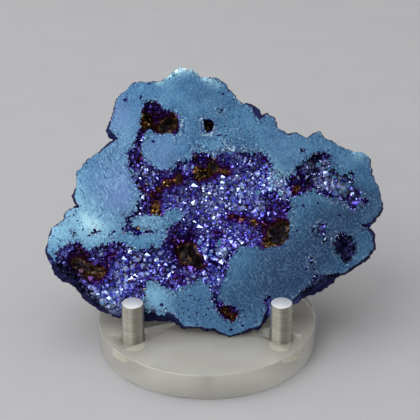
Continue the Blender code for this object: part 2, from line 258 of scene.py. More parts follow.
rng = random.Random(4)
for u, v, radius, number in PINHOLE_PATCHES:
    for _ in range(number):
        angle, far = rng.uniform(0, math.tau), radius * math.sqrt(rng.random())
        PINHOLES.append((u + far * math.cos(angle), v + far * math.sin(angle), rng.uniform(*SMALL_PINHOLES)))

edges_so_far = tree_of([p for loop in sawn_loops + [outer_loop] for p in loop])
holes = []
hole_loops = []
for u, v, radius in PINHOLES:
    apart = all(math.hypot(u - a, v - b) > radius + c + PINHOLES_APART for a, b, c in holes)
    height = front_height(u, v)
    clear = distance(edges_so_far, u, v) > radius + PINHOLE_GAP
    if apart and clear and height is not None and height > SAW_LEVEL:
        holes.append((u, v, radius))
        ring = []
        for i in range(PINHOLE_CORNERS):
            angle, reach = math.tau * i / PINHOLE_CORNERS, radius * rng.uniform(*PINHOLE_UNEVENNESS)
            ring.append(Vector((u + reach * math.cos(angle), v + reach * math.sin(angle), 0.0)))
        hole_loops.append(ring)

# The points of the front: its edges, a fine net in the hollows and a coarse one on the sawn face
JITTER = 0.25
FINE_MARGIN, COARSE_MARGIN, HOLE_MARGIN = 0.34, 0.6, 0.2

low, high = (Vector([f(p[i] for p in outer_loop) for i in (0, 1)]) for f in (min, max))
hollow_edges = tree_of([p for loop in sawn_loops for p in loop if by_sawn_face(p.x, p.y)])
flat_edges = tree_of([p for loop in sawn_loops + hole_loops for p in loop if by_sawn_face(p.x, p.y)])


def uneven_net(step, row_step, seed):
    """The places of an uneven triangular net over the stone"""
    rng = random.Random(seed)
    for row in range(int((high.y - low.y) / row_step) + 1):
        for column in range(int((high.x - low.x) / step) + 1):
            x = low.x + (column + 0.5 * (row % 2) + rng.uniform(-JITTER, JITTER)) * step
            yield x, low.y + (row + rng.uniform(-JITTER, JITTER)) * row_step


def front_points(step, margin, seed, wanted):
    """Points of a net over the front, with their heights, away from its edges and where they are wanted"""
    points = []
    for x, y in uneven_net(step, step * math.sqrt(3) / 2, seed):
        height = front_height(x, y)
        if height is not None and wanted(height):
            if distance(flat_edges, x, y) > margin and distance(rim_tree, x, y) > margin:
                points.append((x, y, height))
    return points


fine = front_points(FINE_STEP, FINE_MARGIN, 1, lambda height: height <= SAW_LEVEL)
coarse = front_points(COARSE_STEP, COARSE_MARGIN, 2, lambda height: height > SAW_LEVEL)
coarse = [p for p in coarse if all(math.hypot(p[0] - u, p[1] - v) > r + HOLE_MARGIN for u, v, r in holes)]

# Where the druse stands close under the sawn face, as (right, up, radius, depth)
SHALLOW_DRUSE = [
    (25, 57, 5.5, 0.9), (44, 62, 5, 1.8), (49.5, 55, 6, 1.7), (42, 56, 5, 2.0), (37, 62, 4, 2.4),
    (-2, 32, 4.5, 1.6), (5, 31, 4, 1.4), (-20, 17.5, 3.5, 1.5), (6.5, 19, 3, 1.8), (-6.5, 62, 3, 1.5),
    (30, 44, 3, 1.5), (-26.5, 60, 3, 1.6), (12, 32, 3, 1.6), (28, 52, 3.5, 1.4),
]
# Lumps of the hollows' floors, as (distance between lumps, height, a place of their own in the noise)
FLOOR_LUMPS = ((2.4, 0.55, 3.0), (1.1, 0.3, 7.0))
# Where the stone's solid is deeper than this, the crust's solid lies in it, and the floor under the crystals
# is lifted into the crust over this width from the edges
HOLLOW_FROM, BED_LIFT, HIGHEST_BED, LIFT_WIDTH = -2.6, 1.2, -0.35, (0.3, 2.2)


def bed_height(x, y, height):
    """The floor under the crystals at a point of a hollow"""
    lump = sum(size * noise.noise(Vector((x / apart, y / apart, own))) for apart, size, own in FLOOR_LUMPS)
    from_edge = fade(distance(flat_edges, x, y), *LIFT_WIDTH)
    if height < HOLLOW_FROM:
        height = min(height + BED_LIFT * from_edge + lump, HIGHEST_BED)
    else:
        height += 0.6 * lump
    for u, v, radius, depth in SHALLOW_DRUSE:
        share = 1 - fade(math.hypot(x - u, y - v), 0.5 * radius, 1.15 * radius)
        height += (max(height, -depth) - height) * share
    return height


def ground_height(x, y, height):
    """The height where the face's edge was ground off"""
    width = ground_width(x, y)
    if width < LEAST_BEVEL:
        return height
    return max(height, -GROUND_DEPTH * max(1 - distance(rim_tree, x, y) / width, 0.0))


for loop in sawn_loops:
    for point in loop:
        if not by_sawn_face(point.x, point.y):
            point.z = bed_height(point.x, point.y, front_height(point.x, point.y) or 0.0)
# Inside each pinhole is a second ring, at these shares of its radius and depth, round its deepest point
INNER_RADIUS, INNER_DEPTH = 0.6, 0.7
points = []
borders = []
for loop in sawn_loops + hole_loops + [outer_loop]:
    rim_start = len(points)
    borders += [(rim_start + i, rim_start + (i + 1) % len(loop)) for i in range(len(loop))]
    points += [p.copy() for p in loop]
points += [Vector((x, y, ground_height(x, y, bed_height(x, y, height)))) for x, y, height in fine]
points += [Vector((x, y, 0.0)) for x, y, _ in coarse]
for (u, v, radius), ring in zip(holes, hole_loops):
    centre = Vector((u, v, -PINHOLE_DEPTH))
    for inner in ring:
        deeper = centre.lerp(inner, INNER_RADIUS)
        deeper.z = -PINHOLE_DEPTH * INNER_DEPTH
        points.append(deeper)
    points.append(centre)

corners, _, triangles, sources, _, _ = delaunay_2d_cdt([p.xy for p in points], borders, [], 1, 1e-6)

# The fine unevenness of every edge, as (distance between bumps, strength)
UNEVENNESS = ((1.25, 1.0), (2.9, 0.8), (0.7, 0.3))
# The small round hole near the top, whose edge is smoother
SMALL_HOLE, SMOOTH_REACH = Vector((0.8, 77.4)), (3.0, 6.0)


def warp(x, y, deep=0.0):
    """The sideways shift of the stone's edges, which changes with the depth"""
    size = 0.48 + 0.08 * fade(distance(rim_tree, x, y), 0.6, 2.5)
    size *= 0.35 + 0.65 * fade(math.hypot(x - SMALL_HOLE.x, y - SMALL_HOLE.y), *SMOOTH_REACH)
    shift = Vector((0.0, 0.0))
    for apart, strength in UNEVENNESS:
        for axis, beside in enumerate((20.0, 50.0)):
            place = Vector((x / apart + beside, y / apart, deep + 3.0 * apart))
            shift[axis] += strength * noise.noise(place)
    return shift * size


# Each face is sawn, druse or rind. What lies lower than the sawn face is rind near the rim, and druse where
# it is further in or has broken away deeper
SAWN, DRUSE, RIND = 0, 1, 2
RIND_WIDTH, BREAK_DEPTH = 3.2, -2.0
# How far a pinhole's wall is from its centre and under the face, and how far off the rim the stone has ended
IN_PINHOLE, PINHOLE_WALL, BESIDE_STONE = 0.6, -0.1, 0.6
# A bevel wider than this was ground, and looks like the sawn face up to this far in from the rim
GROUND_WIDTH, GROUND_REACH = 0.5, 1.6
# A triangle that bridges a narrow part of a hollow is pushed in to a share of the depth there, unless it is
# very small
DEEPEST_PUSH, PUSHED_SHARE, LEAST_BRIDGE = -1.2, 0.7, 0.02

stone = bmesh.new()
rests = []
for corner, source in zip(corners, sources):
    height = points[source[0]].z if source else 0.0
    if not source and not by_sawn_face(corner.x, corner.y):
        height = bed_height(corner.x, corner.y, front_height(corner.x, corner.y) or 0.0)
    shift = warp(corner.x, corner.y)
    stone.verts.new((corner.x + shift.x, corner.y + shift.y, height))
    rests.append(corner.copy())
stone.verts.ensure_lookup_table()
hole_tree = tree_of(holes)
to_deepen = []
for triangle in triangles:
    middle = sum((rests[i] for i in triangle), Vector((0.0, 0.0))) / 3
    height = front_height(middle.x, middle.y)
    from_rim = distance(rim_tree, middle.x, middle.y)
    if height is None and from_rim > BESIDE_STONE:
        continue
    face = stone.faces.new([stone.verts[i] for i in triangle])
    heights = [vert.co.z for vert in face.verts]
    flat = min(heights) > SAW_LEVEL
    if distance(hole_tree, middle.x, middle.y) < IN_PINHOLE and min(heights) < PINHOLE_WALL:
        face.material_index = DRUSE
    elif flat and height is not None and height <= SAW_LEVEL:
        face.material_index = DRUSE
        to_deepen.append((face, height))
    elif flat or ground_width(middle.x, middle.y) > GROUND_WIDTH and from_rim < GROUND_REACH:
        face.material_index = SAWN
    elif height is not None and height < BREAK_DEPTH or from_rim > RIND_WIDTH:
        face.material_index = DRUSE
    else:
        face.material_index = RIND
for face, height in to_deepen:
    if face.calc_area() > LEAST_BRIDGE:
        centre = bmesh.ops.poke(stone, faces=[face])["verts"][0]
        centre.co.z = max(height, DEEPEST_PUSH) * PUSHED_SHARE

# The rind goes down from the rim in rings to the shoulder, and the domed back closes it
RING_COUNT = 7
SHOULDER_INSET = 1.25
SHOULDER_ROUGHNESS = 0.5
SHOULDER_HEIGHT = -8.0
# The lumps of the back, as (distance between them, height)
BACK_ROUGHNESS = ((7.0, 1.1), (2.6, 0.7), (1.2, 0.35))
# The back is nearly smooth up to this height over the table, where the disc is near
SMOOTH_UP_TO, SMOOTH_SHARE, REST_GAP = 11.4, 0.12, 0.05

stone.verts.ensure_lookup_table()
place_of = {source[0]: i for i, source in enumerate(sources) if source}
upper = [stone.verts[place_of[rim_start + i]] for i in range(len(outer_loop))]
turning = sum(a.x * b.y - b.x * a.y for a, b in zip(outer_loop, outer_loop[1:] + outer_loop[:1]))
inwards = []
for i in range(len(outer_loop)):
    along = outer_loop[(i + 3) % len(outer_loop)] - outer_loop[i - 3]
    inwards.append(Vector((-along.y, along.x)).normalized() * (1 if turning > 0 else -1))
for ring in range(1, RING_COUNT + 1):
    share = ring / RING_COUNT
    shoulder = []
    lower = []
    for point, inward in zip(outer_loop, inwards):
        inner = point.xy + inward * (SHOULDER_INSET + 0.1)
        floor = back_height(inner.x, inner.y) or SHOULDER_HEIGHT
        rough = SHOULDER_ROUGHNESS * abs(noise.noise(Vector((point.x / 1.7, point.y / 1.7, 2.2 * share))))
        spot = point.xy + inward * (SHOULDER_INSET * share ** 1.4 + rough * math.sin(math.pi * share))
        shift = warp(spot.x, spot.y, 1.6 * share)
        place = (spot.x + shift.x, spot.y + shift.y, point.z + (floor - point.z) * share)
        lower.append(stone.verts.new(place))
        shoulder.append(spot)
    for i in range(len(lower)):
        j = (i + 1) % len(lower)
        stone.faces.new((upper[i], upper[j], lower[j], lower[i])).material_index = RIND
    upper = lower


def height_over_table(place):
    """How high a place of the stone is in millimetres once it stands on the disc"""
    return FACE_ORIGIN.z + place.y * math.cos(LEAN_BACK) + place.z * math.sin(LEAN_BACK)


back_points = shoulder[:]
for x, y in uneven_net(BACK_STEP, BACK_STEP, 3):
    if back_height(x, y) is not None and distance(rim_tree, x, y) > SHOULDER_INSET + 0.55:
        back_points.append(Vector((x, y)))
ring_edges = [(i, (i + 1) % len(shoulder)) for i in range(len(shoulder))]
corners, _, triangles, sources, _, _ = delaunay_2d_cdt(back_points, ring_edges, [], 1, 1e-6)
back_verts = []
for corner, source in zip(corners, sources):
    if source and source[0] < len(shoulder):
        back_verts.append(upper[source[0]])
        continue
    floor = back_height(corner.x, corner.y) or SHOULDER_HEIGHT
    rough = sum(size * abs(noise.noise(Vector((corner.x / apart, corner.y / apart, 4.0 + apart))))
                for apart, size in BACK_ROUGHNESS)
    rough *= SMOOTH_SHARE if height_over_table(Vector((*corner, floor))) < SMOOTH_UP_TO else 1.0
    back_verts.append(stone.verts.new((corner.x, corner.y, floor + rough)))
for triangle in triangles:
    ends = {back_verts[i]: None for i in triangle}
    if len(ends) == 3:
        stone.faces.new(list(ends)).material_index = RIND

# The stone stands on the disc, so the points of its uneven foot that would sink in are moved up the face
disc_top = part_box("stand_disc")[1].z / MM
for vert in stone.verts:
    sunk = disc_top + REST_GAP - height_over_table(vert.co)
    if sunk > 0:
        vert.co.y += sunk / math.cos(LEAN_BACK)
bmesh.ops.recalc_face_normals(stone, faces=stone.faces)

# How much titanium reached each place: the share of the vapour's directions open to it, times its slant
VAPOUR = [Vector((0, 0, 1))]
for tilt, number in ((25, 5), (52, 7)):
    aside, ahead = math.sin(math.radians(tilt)), math.cos(math.radians(tilt))
    for i in range(number):
        turn = math.tau * i / number + tilt
        VAPOUR.append(Vector((aside * math.cos(turn), aside * math.sin(turn), ahead)))
OPEN_FACE = sum(direction.z for direction in VAPOUR)
# How far off something still shades a place, and how far over the surface the look towards it starts
VAPOUR_REACH, OFF_SURFACE = 30.0, 0.06


def film_on(position, normal, shadows):
    """The film's thickness at a place, from 0 where no vapour came to 1 on the open sawn face"""
    start = position + normal * OFF_SURFACE
    film = 0.0
    for direction in VAPOUR:
        slant = direction.dot(normal)
        if slant > 0 and shadows.ray_cast(start, direction, VAPOUR_REACH)[0] is None:
            film += slant
    return film / OPEN_FACE


# Where little vapour came and the film stayed bronze and gold, as (right, up, radius, strength)
THIN_FILM = [
    (-23, 81.5, 2.6, 1.0), (-21.5, 78.5, 2.4, 1.0), (-23.5, 77, 1.6, 0.8), (-0.5, 77.0, 2.4, 0.7),
    (5, 61, 2.2, 1.0), (0, 60.0, 2.4, 1.0), (-4.5, 61.5, 2.2, 0.9), (8, 60.5, 2.0, 0.8),
    (-3, 58.8, 2.0, 1.0), (-10.5, 57.6, 2.6, 1.2), (-15, 56.4, 2.3, 1.2), (-18, 54, 1.6, 1.0),
    (-18.5, 48.5, 2.4, 1.1), (-20.5, 52, 1.7, 1.0), (-19.2, 44.9, 2.0, 1.1), (-17.2, 43.5, 1.5, 1.0),
    (-25, 65, 1.5, 0.9), (-26.5, 61, 1.2, 0.8), (-22.5, 70.5, 1.2, 0.8), (12.5, 43.2, 2.3, 1.1),
    (8.5, 44.2, 2.0, 1.0), (17, 42.2, 2.0, 1.1), (3.5, 38.5, 1.8, 0.9), (32, 53.5, 2.2, 1.0),
    (33.5, 55, 1.2, 0.8), (21.5, 34, 2.2, 0.9), (23.5, 32.8, 1.6, 0.8), (-4.5, 27, 2.2, 0.9),
    (-9.5, 27.5, 1.6, 0.8), (-39.5, 23.5, 3.6, 1.2), (-44.5, 23.0, 2.4, 1.0), (-35, 30, 2.0, 0.7),
    (6.5, 9.8, 2.2, 1.0), (9.5, 7, 2.0, 1.0), (50.5, 31.5, 1.6, 0.6), (3, 27.5, 1.5, 0.7),
    (-11.5, 21.5, 1.5, 0.8), (-14, 35.5, 1.2, 0.7), (-2.2, 32.3, 1.4, 0.8), (-3.5, 29.5, 1.3, 0.8),
    (20.6, 41.5, 1.4, 1.0), (14, 37.5, 1.2, 0.6), (-28, 17.6, 1.2, 0.5),
]
# Wells so deep that the stone stayed bare and olive dark, as (right, up, radius, strength)
BARE_FILM = [
    (-16, 77.5, 4.2, 1.0), (-13, 78.5, 2.8, 0.9), (0.8, 77.6, 1.8, 0.8), (27, 39.0, 6.0, 1.0),
    (25, 36.5, 3.6, 0.8), (3, 62, 2.6, 0.8), (-2, 61, 2.2, 0.6), (-10, 58.5, 1.8, 0.5), (-8, 32, 4.6, 1.1),
    (-5, 29, 3.6, 1.0), (-2.5, 26.5, 2.0, 0.7), (-47.5, 27.3, 4.4, 1.1), (-42.5, 25.5, 2.4, 0.8),
    (1.5, 63.5, 2.0, 0.8), (7, 9, 1.4, 0.7), (-37.5, 25, 1.8, 0.7), (37, 52.5, 2.2, 0.5),
]
# Patches where it came thickest, pale blue to silver, and one where it came thinner, in the same way
THICK_FILM_AND_STREAK_HIGHLIGHT = [
    # The first two patches are a painted highlight: they turn pale a streak of crystal facets where the key
    # lamp glints
    (5.8, 57, 1.6, 0.8), (5.4, 53.6, 1.5, 0.7), (0, 51, 6, 0.12), (9, 40, 5, 0.15), (-1.5, 31.5, 4.0, 0.5),
    (4.5, 31, 3.2, 0.4), (25, 57, 4.5, 0.6), (21, 55, 2.5, 0.5), (-38, 14.5, 3.5, 0.5), (-34, 12, 3.5, 0.6),
    (-30, 17.5, 2.5, 0.4), (17.5, 52.4, 2.2, 0.3), (-36, 11.5, 2.5, 0.5), (-7, 33.8, 2.0, 0.3),
    (11, 52.5, 3.0, 0.2), (15, 60.5, 6.0, 0.14), (2, 18, 3.0, 0.35), (3.5, 22, 2.5, 0.3),
    (-34, 25, 3, 0.12), (-18, 27.5, 4, 0.2), (54, 48.6, 2.2, -0.15),
]
# The film's thickness where it stayed bronze, and how deep the places lie that it changes
BRONZE_FILM, IN_HOLLOWS = 0.065, -0.1


def patches_at(position, patches):
    """How strongly the patches reach a place"""
    return sum(strength * math.exp(-((position.x - u) ** 2 + (position.y - v) ** 2) / radius ** 2)
               for u, v, radius, strength in patches)


def thinned(film, position):
    """The film's thickness once the patches that the vapour hardly reached are taken into account"""
    if position.z < IN_HOLLOWS:
        film += (BRONZE_FILM - film) * min(patches_at(position, THIN_FILM), 1.0)
        film -= film * min(patches_at(position, BARE_FILM), 1.0)
    return film


# Where the sawn face is paler, more violet, darker or speckled, as (right, up, radius, strength)
PALE_FACE_AND_CROWN_HIGHLIGHT = [
    (-49, 54, 6, 0.4), (-46, 46, 6, 0.7), (-39, 40, 6, 0.7), (-54, 38, 6, 0.7), (-43, 39, 6, 0.4),
    (-19, 14, 6, 0.6), (-22, 42, 6, 0.5), (-30, 73, 6, 0.3), (55.5, 66.5, 2.5, 0.8), (25, 56, 5, 1.0),
    # The patches stronger than 1, along the crown's ground bevel, are a painted highlight: pale, then near
    # white
    (-17.5, 93.6, 1.7, 1.4), (-14.5, 95.6, 1.7, 1.5), (-11, 97.4, 1.8, 1.6), (-7.5, 98.2, 1.9, 1.6),
    (-4, 97.6, 1.7, 1.5), (-1.5, 95.8, 1.5, 1.5), (0.8, 93.7, 1.5, 1.5), (4, 92, 1.2, 0.9),
    (18, 64, 4, 0.5),
]
VIOLET_FACE = [
    (-33, 81, 6, 0.6), (-33, 56, 9, 0.6), (-17, 67, 7, 0.4), (-31, 50, 6, 0.3), (28, 70, 8, 0.2),
]
DEEP_FACE = [
    (40, 28, 16, 0.65), (26, 20, 14, 0.95), (58, 48, 10, 0.7), (8, 12, 10, 0.6), (45, 42, 12, 0.6),
    (2, 88, 9, 0.3), (-31, 47, 5, 0.5), (-28, 44, 4, 0.4), (-8, 9, 8, 0.35),
]
SPECKLED_FACE = [
    (-7, 72, 7, 0.8), (5, 71, 9, 1.0), (14, 72, 9, 0.8), (-7, 80, 5, 0.5), (9, 89, 6, 0.4),
    (24, 58, 5, 0.8), (40, 39, 7, 0.3), (36, 31, 8, 0.2), (24, 20, 10, 0.05), (-12, 12, 8, 0.8),
    (-52, 40, 7, 0.6), (33, 45, 5, 0.6), (49, 48, 6, 0.5),
]
# Broken rock and rind that took little shine, as (right, up, radius, strength)
DULL_ROCK = [
    (-57, 25, 5, 0.95), (-51, 20, 5.5, 0.95), (-46, 15.5, 4.5, 0.85), (-42, 11, 4.5, 0.95),
    (-38, 7.5, 4, 1.0), (-27, 8, 6, 0.9), (-18, 8, 5, 0.8), (-33, 4, 4, 1.0), (44, 18, 7, 0.95),
    (36, 14, 6, 0.95), (52, 22, 5, 0.9), (28, 8, 5, 0.8), (57, 39.5, 4, 0.5), (49.9, 32.3, 9, 1.0),
    (-46, 27, 6, 0.4), (38, 60, 5, 0.8), (39, 66, 4, 0.6),
]
# Where upright crystals reach the saw's plane and are cut flat, as (right, up, radius)
CUT_DRUSE = [
    (48, 61.5, 3.6), (50, 57.5, 3.8), (51.5, 53, 3.2), (45.5, 59.5, 2.4), (40.5, 64.3, 1.8),
    (44.5, 65.5, 1.8), (38.5, 51.3, 1.6), (47, 53.5, 2.2), (2.5, 31.5, 3.2), (39.5, 38, 2.6),
    (42, 34.5, 2.4), (12, 32, 2.2), (-26.5, 60, 2.2), (18, 63, 2.0), (31, 47, 2.5), (36.5, 36.5, 2.2),
]# The roots of the cut crystals are dull below the sawn face, and all dullness ends over these depths
# The darkening of the rock below the sawn face round the cut crystals, in the gaps between them, is painted
# shade
CUT_GAP_SHADE, CUT_ROOTS, DULL_DEPTH = 0.8, -0.3, (-8.0, -5.0)
# How far from a hollow the sawn face is chipped
HOLLOW_BORDER = 3.0


def nearest_share(place, zones):
    """How far inside the nearest of the round zones a place is, from 0 to 1"""
    return max(1 - fade(math.hypot(place.x - u, place.y - v), 0.5 * radius, 1.1 * radius)
               for u, v, radius in zones)


stone.normal_update()
shadows = BVHTree.FromBMesh(stone)
stone_layers = {name: stone.verts.layers.float.new(name)
                for name in ("film", "border", "pale", "violet", "speckle", "dull", "deep")}
for vert in stone.verts:
    place = vert.co
    # dull also holds the painted shade in the gaps between the cut crystals
    dull = patches_at(place, DULL_ROCK) + CUT_GAP_SHADE * (place.z < CUT_ROOTS) * nearest_share(place, CUT_DRUSE)
    values = {
        "film": thinned(film_on(place, vert.normal, shadows), place),
        "border": fade(distance(hollow_edges, place.x, place.y), 0.0, HOLLOW_BORDER),
        "pale": patches_at(place, PALE_FACE_AND_CROWN_HIGHLIGHT),
        "violet": patches_at(place, VIOLET_FACE),
        "speckle": patches_at(place, SPECKLED_FACE),
        "dull": dull * fade(place.z, *DULL_DEPTH),
        "deep": patches_at(place, DEEP_FACE),
    }
    for name, layer in stone_layers.items():
        vert[layer] = values[name]


def linear(hex_colour):
    """The linear colour of an sRGB hex value"""
    parts = [int(hex_colour[i:i + 2], 16) / 255 for i in (1, 3, 5)]
    return tuple(c / 12.92 if c <= 0.04045 else ((c + 0.055) / 1.055) ** 2.4 for c in parts) + (1.0,)


def connect(node, inputs):
    """Gives a node's inputs their values, or links from other nodes or their outputs"""
    for name, value in inputs.items():
        if isinstance(value, bpy.types.Node):
            value = value.outputs[0]
        if isinstance(value, bpy.types.NodeSocket):
            node.id_data.links.new(value, node.inputs[name])
        else:
            node.inputs[name].default_value = value


def add(tree, kind, inputs=None, stops=(), **settings):
    """Adds a node with its settings, its values and links, and the stops of its colour ramp"""
    node = tree.nodes.new(kind)
    for name, value in settings.items():
        setattr(node, name, value)
    connect(node, inputs or {})
    if stops:
        elements = node.color_ramp.elements
        while len(elements) < len(stops):
            elements.new(1.0)
        for element, (position, shade) in zip(elements, stops):
            element.position, element.color = position, linear(shade)
    return node


def new_material(name):
    """A material with its shader and its object coordinates, as (material, tree, shader, place)"""
    material = bpy.data.materials.new(name)
    material.use_nodes = True
    tree = material.node_tree
    return material, tree, tree.nodes["Principled BSDF"], add(tree, "ShaderNodeTexCoord").outputs["Object"]


# The colours of titanium film on quartz as it thickens: bare brown stone, gold, bronze, purple, violet and
# a pale violet blue
FILM_COLOURS = [
    (0.0, "#3a3220"), (0.04, "#6b5528"), (0.075, "#a07a34"), (0.11, "#71391f"), (0.16, "#5c1c3e"),
    (0.25, "#581f80"), (0.38, "#5a38b6"), (0.54, "#655cd2"), (0.72, "#7881e4"), (0.88, "#98a6ee"),
    (1.0, "#aec2ee"),
]
# On the rough rind the film dries up to a dark indigo, and leaves the back the brown of the bare rock
RIND_COLOURS = [
    (0.0, "#5d5146"), (0.05, "#4d3f36"), (0.1, "#33242c"), (0.17, "#1f1430"), (0.38, "#1d174a"),
    (0.6, "#202356"), (1.0, "#26325a"),
]
# The dark navy of dull rock, also used as the painted shade between the crystals
DULL_AND_SHADE_COLOUR = "#0f0e34"


def film_material(name, colours, roughness, painted_shade, coat, relief_depth):
    """Quartz under a film of titanium, whose colour follows the film's thickness and drifts over 3 mm"""
    material, tree, shader, place = new_material(name)
    film, dull = (add(tree, "ShaderNodeAttribute", attribute_name=layer).outputs["Fac"]
                  for layer in ("film", "dull"))
    uneven = add(tree, "ShaderNodeTexNoise", {"Vector": place, "Scale": 1 / (3.0 * MM), "Detail": 2.0})
    drift = add(tree, "ShaderNodeMath", {0: uneven, 1: -0.5}, operation="ADD")
    film = add(tree, "ShaderNodeMath", {0: drift, 1: 0.25, 2: film}, operation="MULTIPLY_ADD")
    colour = add(tree, "ShaderNodeValToRGB", {"Fac": film}, colours)
    # The colour is darkened towards the dark navy by the larger of the dull patches and the painted shade
    # given
    dark = add(tree, "ShaderNodeMath", {0: dull, 1: painted_shade}, operation="MAXIMUM", use_clamp=True)
    grain = add(tree, "ShaderNodeTexNoise", {"Vector": place, "Scale": 1 / (0.8 * MM), "Detail": 3.0})
    polish = add(tree, "ShaderNodeMapRange", {"Value": grain, "To Min": roughness[0], "To Max": roughness[1]})
    dulled_and_shaded = add(tree, "ShaderNodeMix", {0: dark, 6: colour, 7: linear(DULL_AND_SHADE_COLOUR)}, data_type="RGBA")
    connect(shader, {"Base Color": dulled_and_shaded.outputs[2], "Roughness": polish, "Metallic": 0.85,
                     "Coat Weight": coat, "Coat Roughness": 0.08})
    if relief_depth:
        depth = relief_depth * MM
        relief = add(tree, "ShaderNodeBump", {"Height": grain, "Strength": 0.6, "Distance": depth})
        connect(shader, {"Normal": relief})
    return material


# Coated quartz, sawn and sanded to a satin: it has a broad soft shine, and shows fibres and fine pits. Its
# patterns are laid out in millimetres in the face's own coordinates
sawn_quartz, tree, shader, place = new_material("sanded_quartz_titanium_film")
on_face = add(tree, "ShaderNodeMapping", {
    "Vector": place, "Location": FACE_ORIGIN * MM, "Rotation": (math.pi / 2 - LEAN_BACK, 0, 0),
    "Scale": (MM, MM, MM)}, vector_type="TEXTURE")
pale, violet, border, speckle, deep = (add(tree, "ShaderNodeAttribute", attribute_name=layer).outputs["Fac"]
                                       for layer in ("pale", "violet", "border", "speckle", "deep"))

# Cloudy film, from green-blue to steel blue, in clouds 9 mm wide
clouds = add(tree, "ShaderNodeTexNoise", {
    "Vector": on_face, "Scale": 1 / 9, "Detail": 5.0, "Roughness": 0.65})
# A painted highlight: where the pale patches pass 0.9, along the crown's ground bevel, the face turns near
# white
painted_highlight = add(tree, "ShaderNodeMapRange", {"Value": pale, "From Min": 0.9, "From Max": 1.5})
colour = add(tree, "ShaderNodeValToRGB", {"Fac": clouds}, [
    (0.32, "#2e597f"), (0.5, "#427199"), (0.68, "#5688ac")])
# The colours laid over the clouds in turn, each as (share, colour); the near white one is a painted highlight
layers = [(deep, "#213a5c"), (pale, "#84b6cc"), (violet, "#7088bb"), (painted_highlight, "#d4f2f4")]

# Sheaves of agate fibres, cut as short straight strokes 3 to 4 mm long that cross each other, thickest
# round one place at the left
SHEAVES_AT = (-36.0, 55.0, 0.0)
heart = add(tree, "ShaderNodeVectorMath", {0: on_face, 1: SHEAVES_AT}, operation="DISTANCE").outputs["Value"]
within = add(tree, "ShaderNodeMapRange", {
    "Value": heart, "From Min": 10.0, "From Max": 24.0, "To Min": 0.9, "To Max": 0.3})
for number, turn in enumerate((38, 76, -48, 112)):
    sheaf = add(tree, "ShaderNodeMapping", {
        "Vector": on_face, "Location": (7.0 * number, 3.0, 0.0), "Scale": (3.8, 0.4, 1.0),
        "Rotation": (0.0, 0.0, math.radians(turn))}, vector_type="TEXTURE")
    strokes = add(tree, "ShaderNodeTexNoise", {
        "Vector": sheaf, "Scale": 1.0, "Detail": 3.0, "Roughness": 0.6})
    shifted = add(tree, "ShaderNodeVectorMath", {0: on_face, 1: (0.0, 0.0, 11.0 * number)}, operation="ADD")
    sheaves = add(tree, "ShaderNodeTexNoise", {"Vector": shifted, "Scale": 1 / 6, "Detail": 1.0})
    sheaves = add(tree, "ShaderNodeMapRange", {"Value": sheaves, "From Min": 0.42, "From Max": 0.6})
    sheaves = add(tree, "ShaderNodeMath", {0: sheaves, 1: within}, operation="MULTIPLY")
    for least, most, shade in ((0.53, 0.66, "#2d4a74"), (0.45, 0.33, "#86b0cc")):
        share = add(tree, "ShaderNodeMapRange", {"Value": strokes, "From Min": least, "From Max": most})
        share = add(tree, "ShaderNodeMath", {0: share, 1: sheaves}, operation="MULTIPLY")
        layers.append((share, shade))

# Tiny crystals cut through by the saw, 0.8 mm and less: pale flecks and dark gaps between them
grain = add(tree, "ShaderNodeTexNoise", {
    "Vector": on_face, "Scale": 1 / 0.8, "Detail": 3.0, "Roughness": 0.75})
gaps = add(tree, "ShaderNodeMapRange", {"Value": grain, "From Min": 0.46, "From Max": 0.33, "To Max": 0.6})
tops = add(tree, "ShaderNodeMapRange", {"Value": grain, "From Min": 0.54, "From Max": 0.7, "To Max": 0.45})
layers += [(gaps, "#22416a"), (tops, "#7fa9c6")]

# Chipped and pitted quartz, thickest along the hollows' edges: dark pores and pale frost that come and go,
# each as (width, where it begins to show and where it is full, colour)
CHIPS = ((0.75, 0.67, 0.73, "#1d2450"), (0.8, 0.7, 0.82, "#a5c6e0"), (1.6, 0.71, 0.75, "#23306a"),
         (1.1, 0.74, 0.86, "#c4def0"))
often = add(tree, "ShaderNodeMath", {0: border, 1: -0.12, 2: 0.12}, operation="MULTIPLY_ADD")
often = add(tree, "ShaderNodeMath", {0: speckle, 1: 0.09, 2: often}, operation="MULTIPLY_ADD")
for number, (wide, least, most, shade) in enumerate(CHIPS):
    beside = add(tree, "ShaderNodeVectorMath", {0: on_face, 1: (31.0 * number, 17.0, 5.0)}, operation="ADD")
    flecks = add(tree, "ShaderNodeTexNoise", {
        "Vector": beside, "Scale": 1 / wide, "Detail": 3.0, "Roughness": 0.65, "Distortion": 0.6})
    flecks = add(tree, "ShaderNodeMath", {0: flecks, 1: often}, operation="ADD")
    shown = add(tree, "ShaderNodeMapRange", {
        "Value": flecks, "From Min": least, "From Max": most, "To Max": 0.85})
    layers.append((shown, shade))

for share, shade in layers:
    mix = add(tree, "ShaderNodeMix", {0: share, 6: colour, 7: linear(shade)}, data_type="RGBA")
    colour = mix.outputs[2]
satin = add(tree, "ShaderNodeMapRange", {"Value": grain, "To Min": 0.26, "To Max": 0.46})
relief = add(tree, "ShaderNodeBump", {"Height": grain, "Strength": 0.25, "Distance": 0.1 * MM})
connect(shader, {"Base Color": colour, "Metallic": 0.8, "Roughness": satin, "Normal": relief})

# Coated rock under the crystals: rough, with its colour darkened over halfway to dark navy as painted shade
# between them
druse_floor = film_material("druse_floor_titanium_film", FILM_COLOURS, (0.3, 0.6), 0.55, 0.0, 0.15)
# Coated quartz crystals, grown with faces as smooth as glass: each face flashes or goes dark as one
druse_quartz = film_material("druse_crystals_titanium_film", FILM_COLOURS, (0.06, 0.22), 0.0, 0.4, 0.0)
# Coated rind, as rough as broken rock: it has only a faint and broken shine
rind_rock = film_material("rough_rind_titanium_film", RIND_COLOURS, (0.4, 0.75), 0.0, 0.0, 0.4)


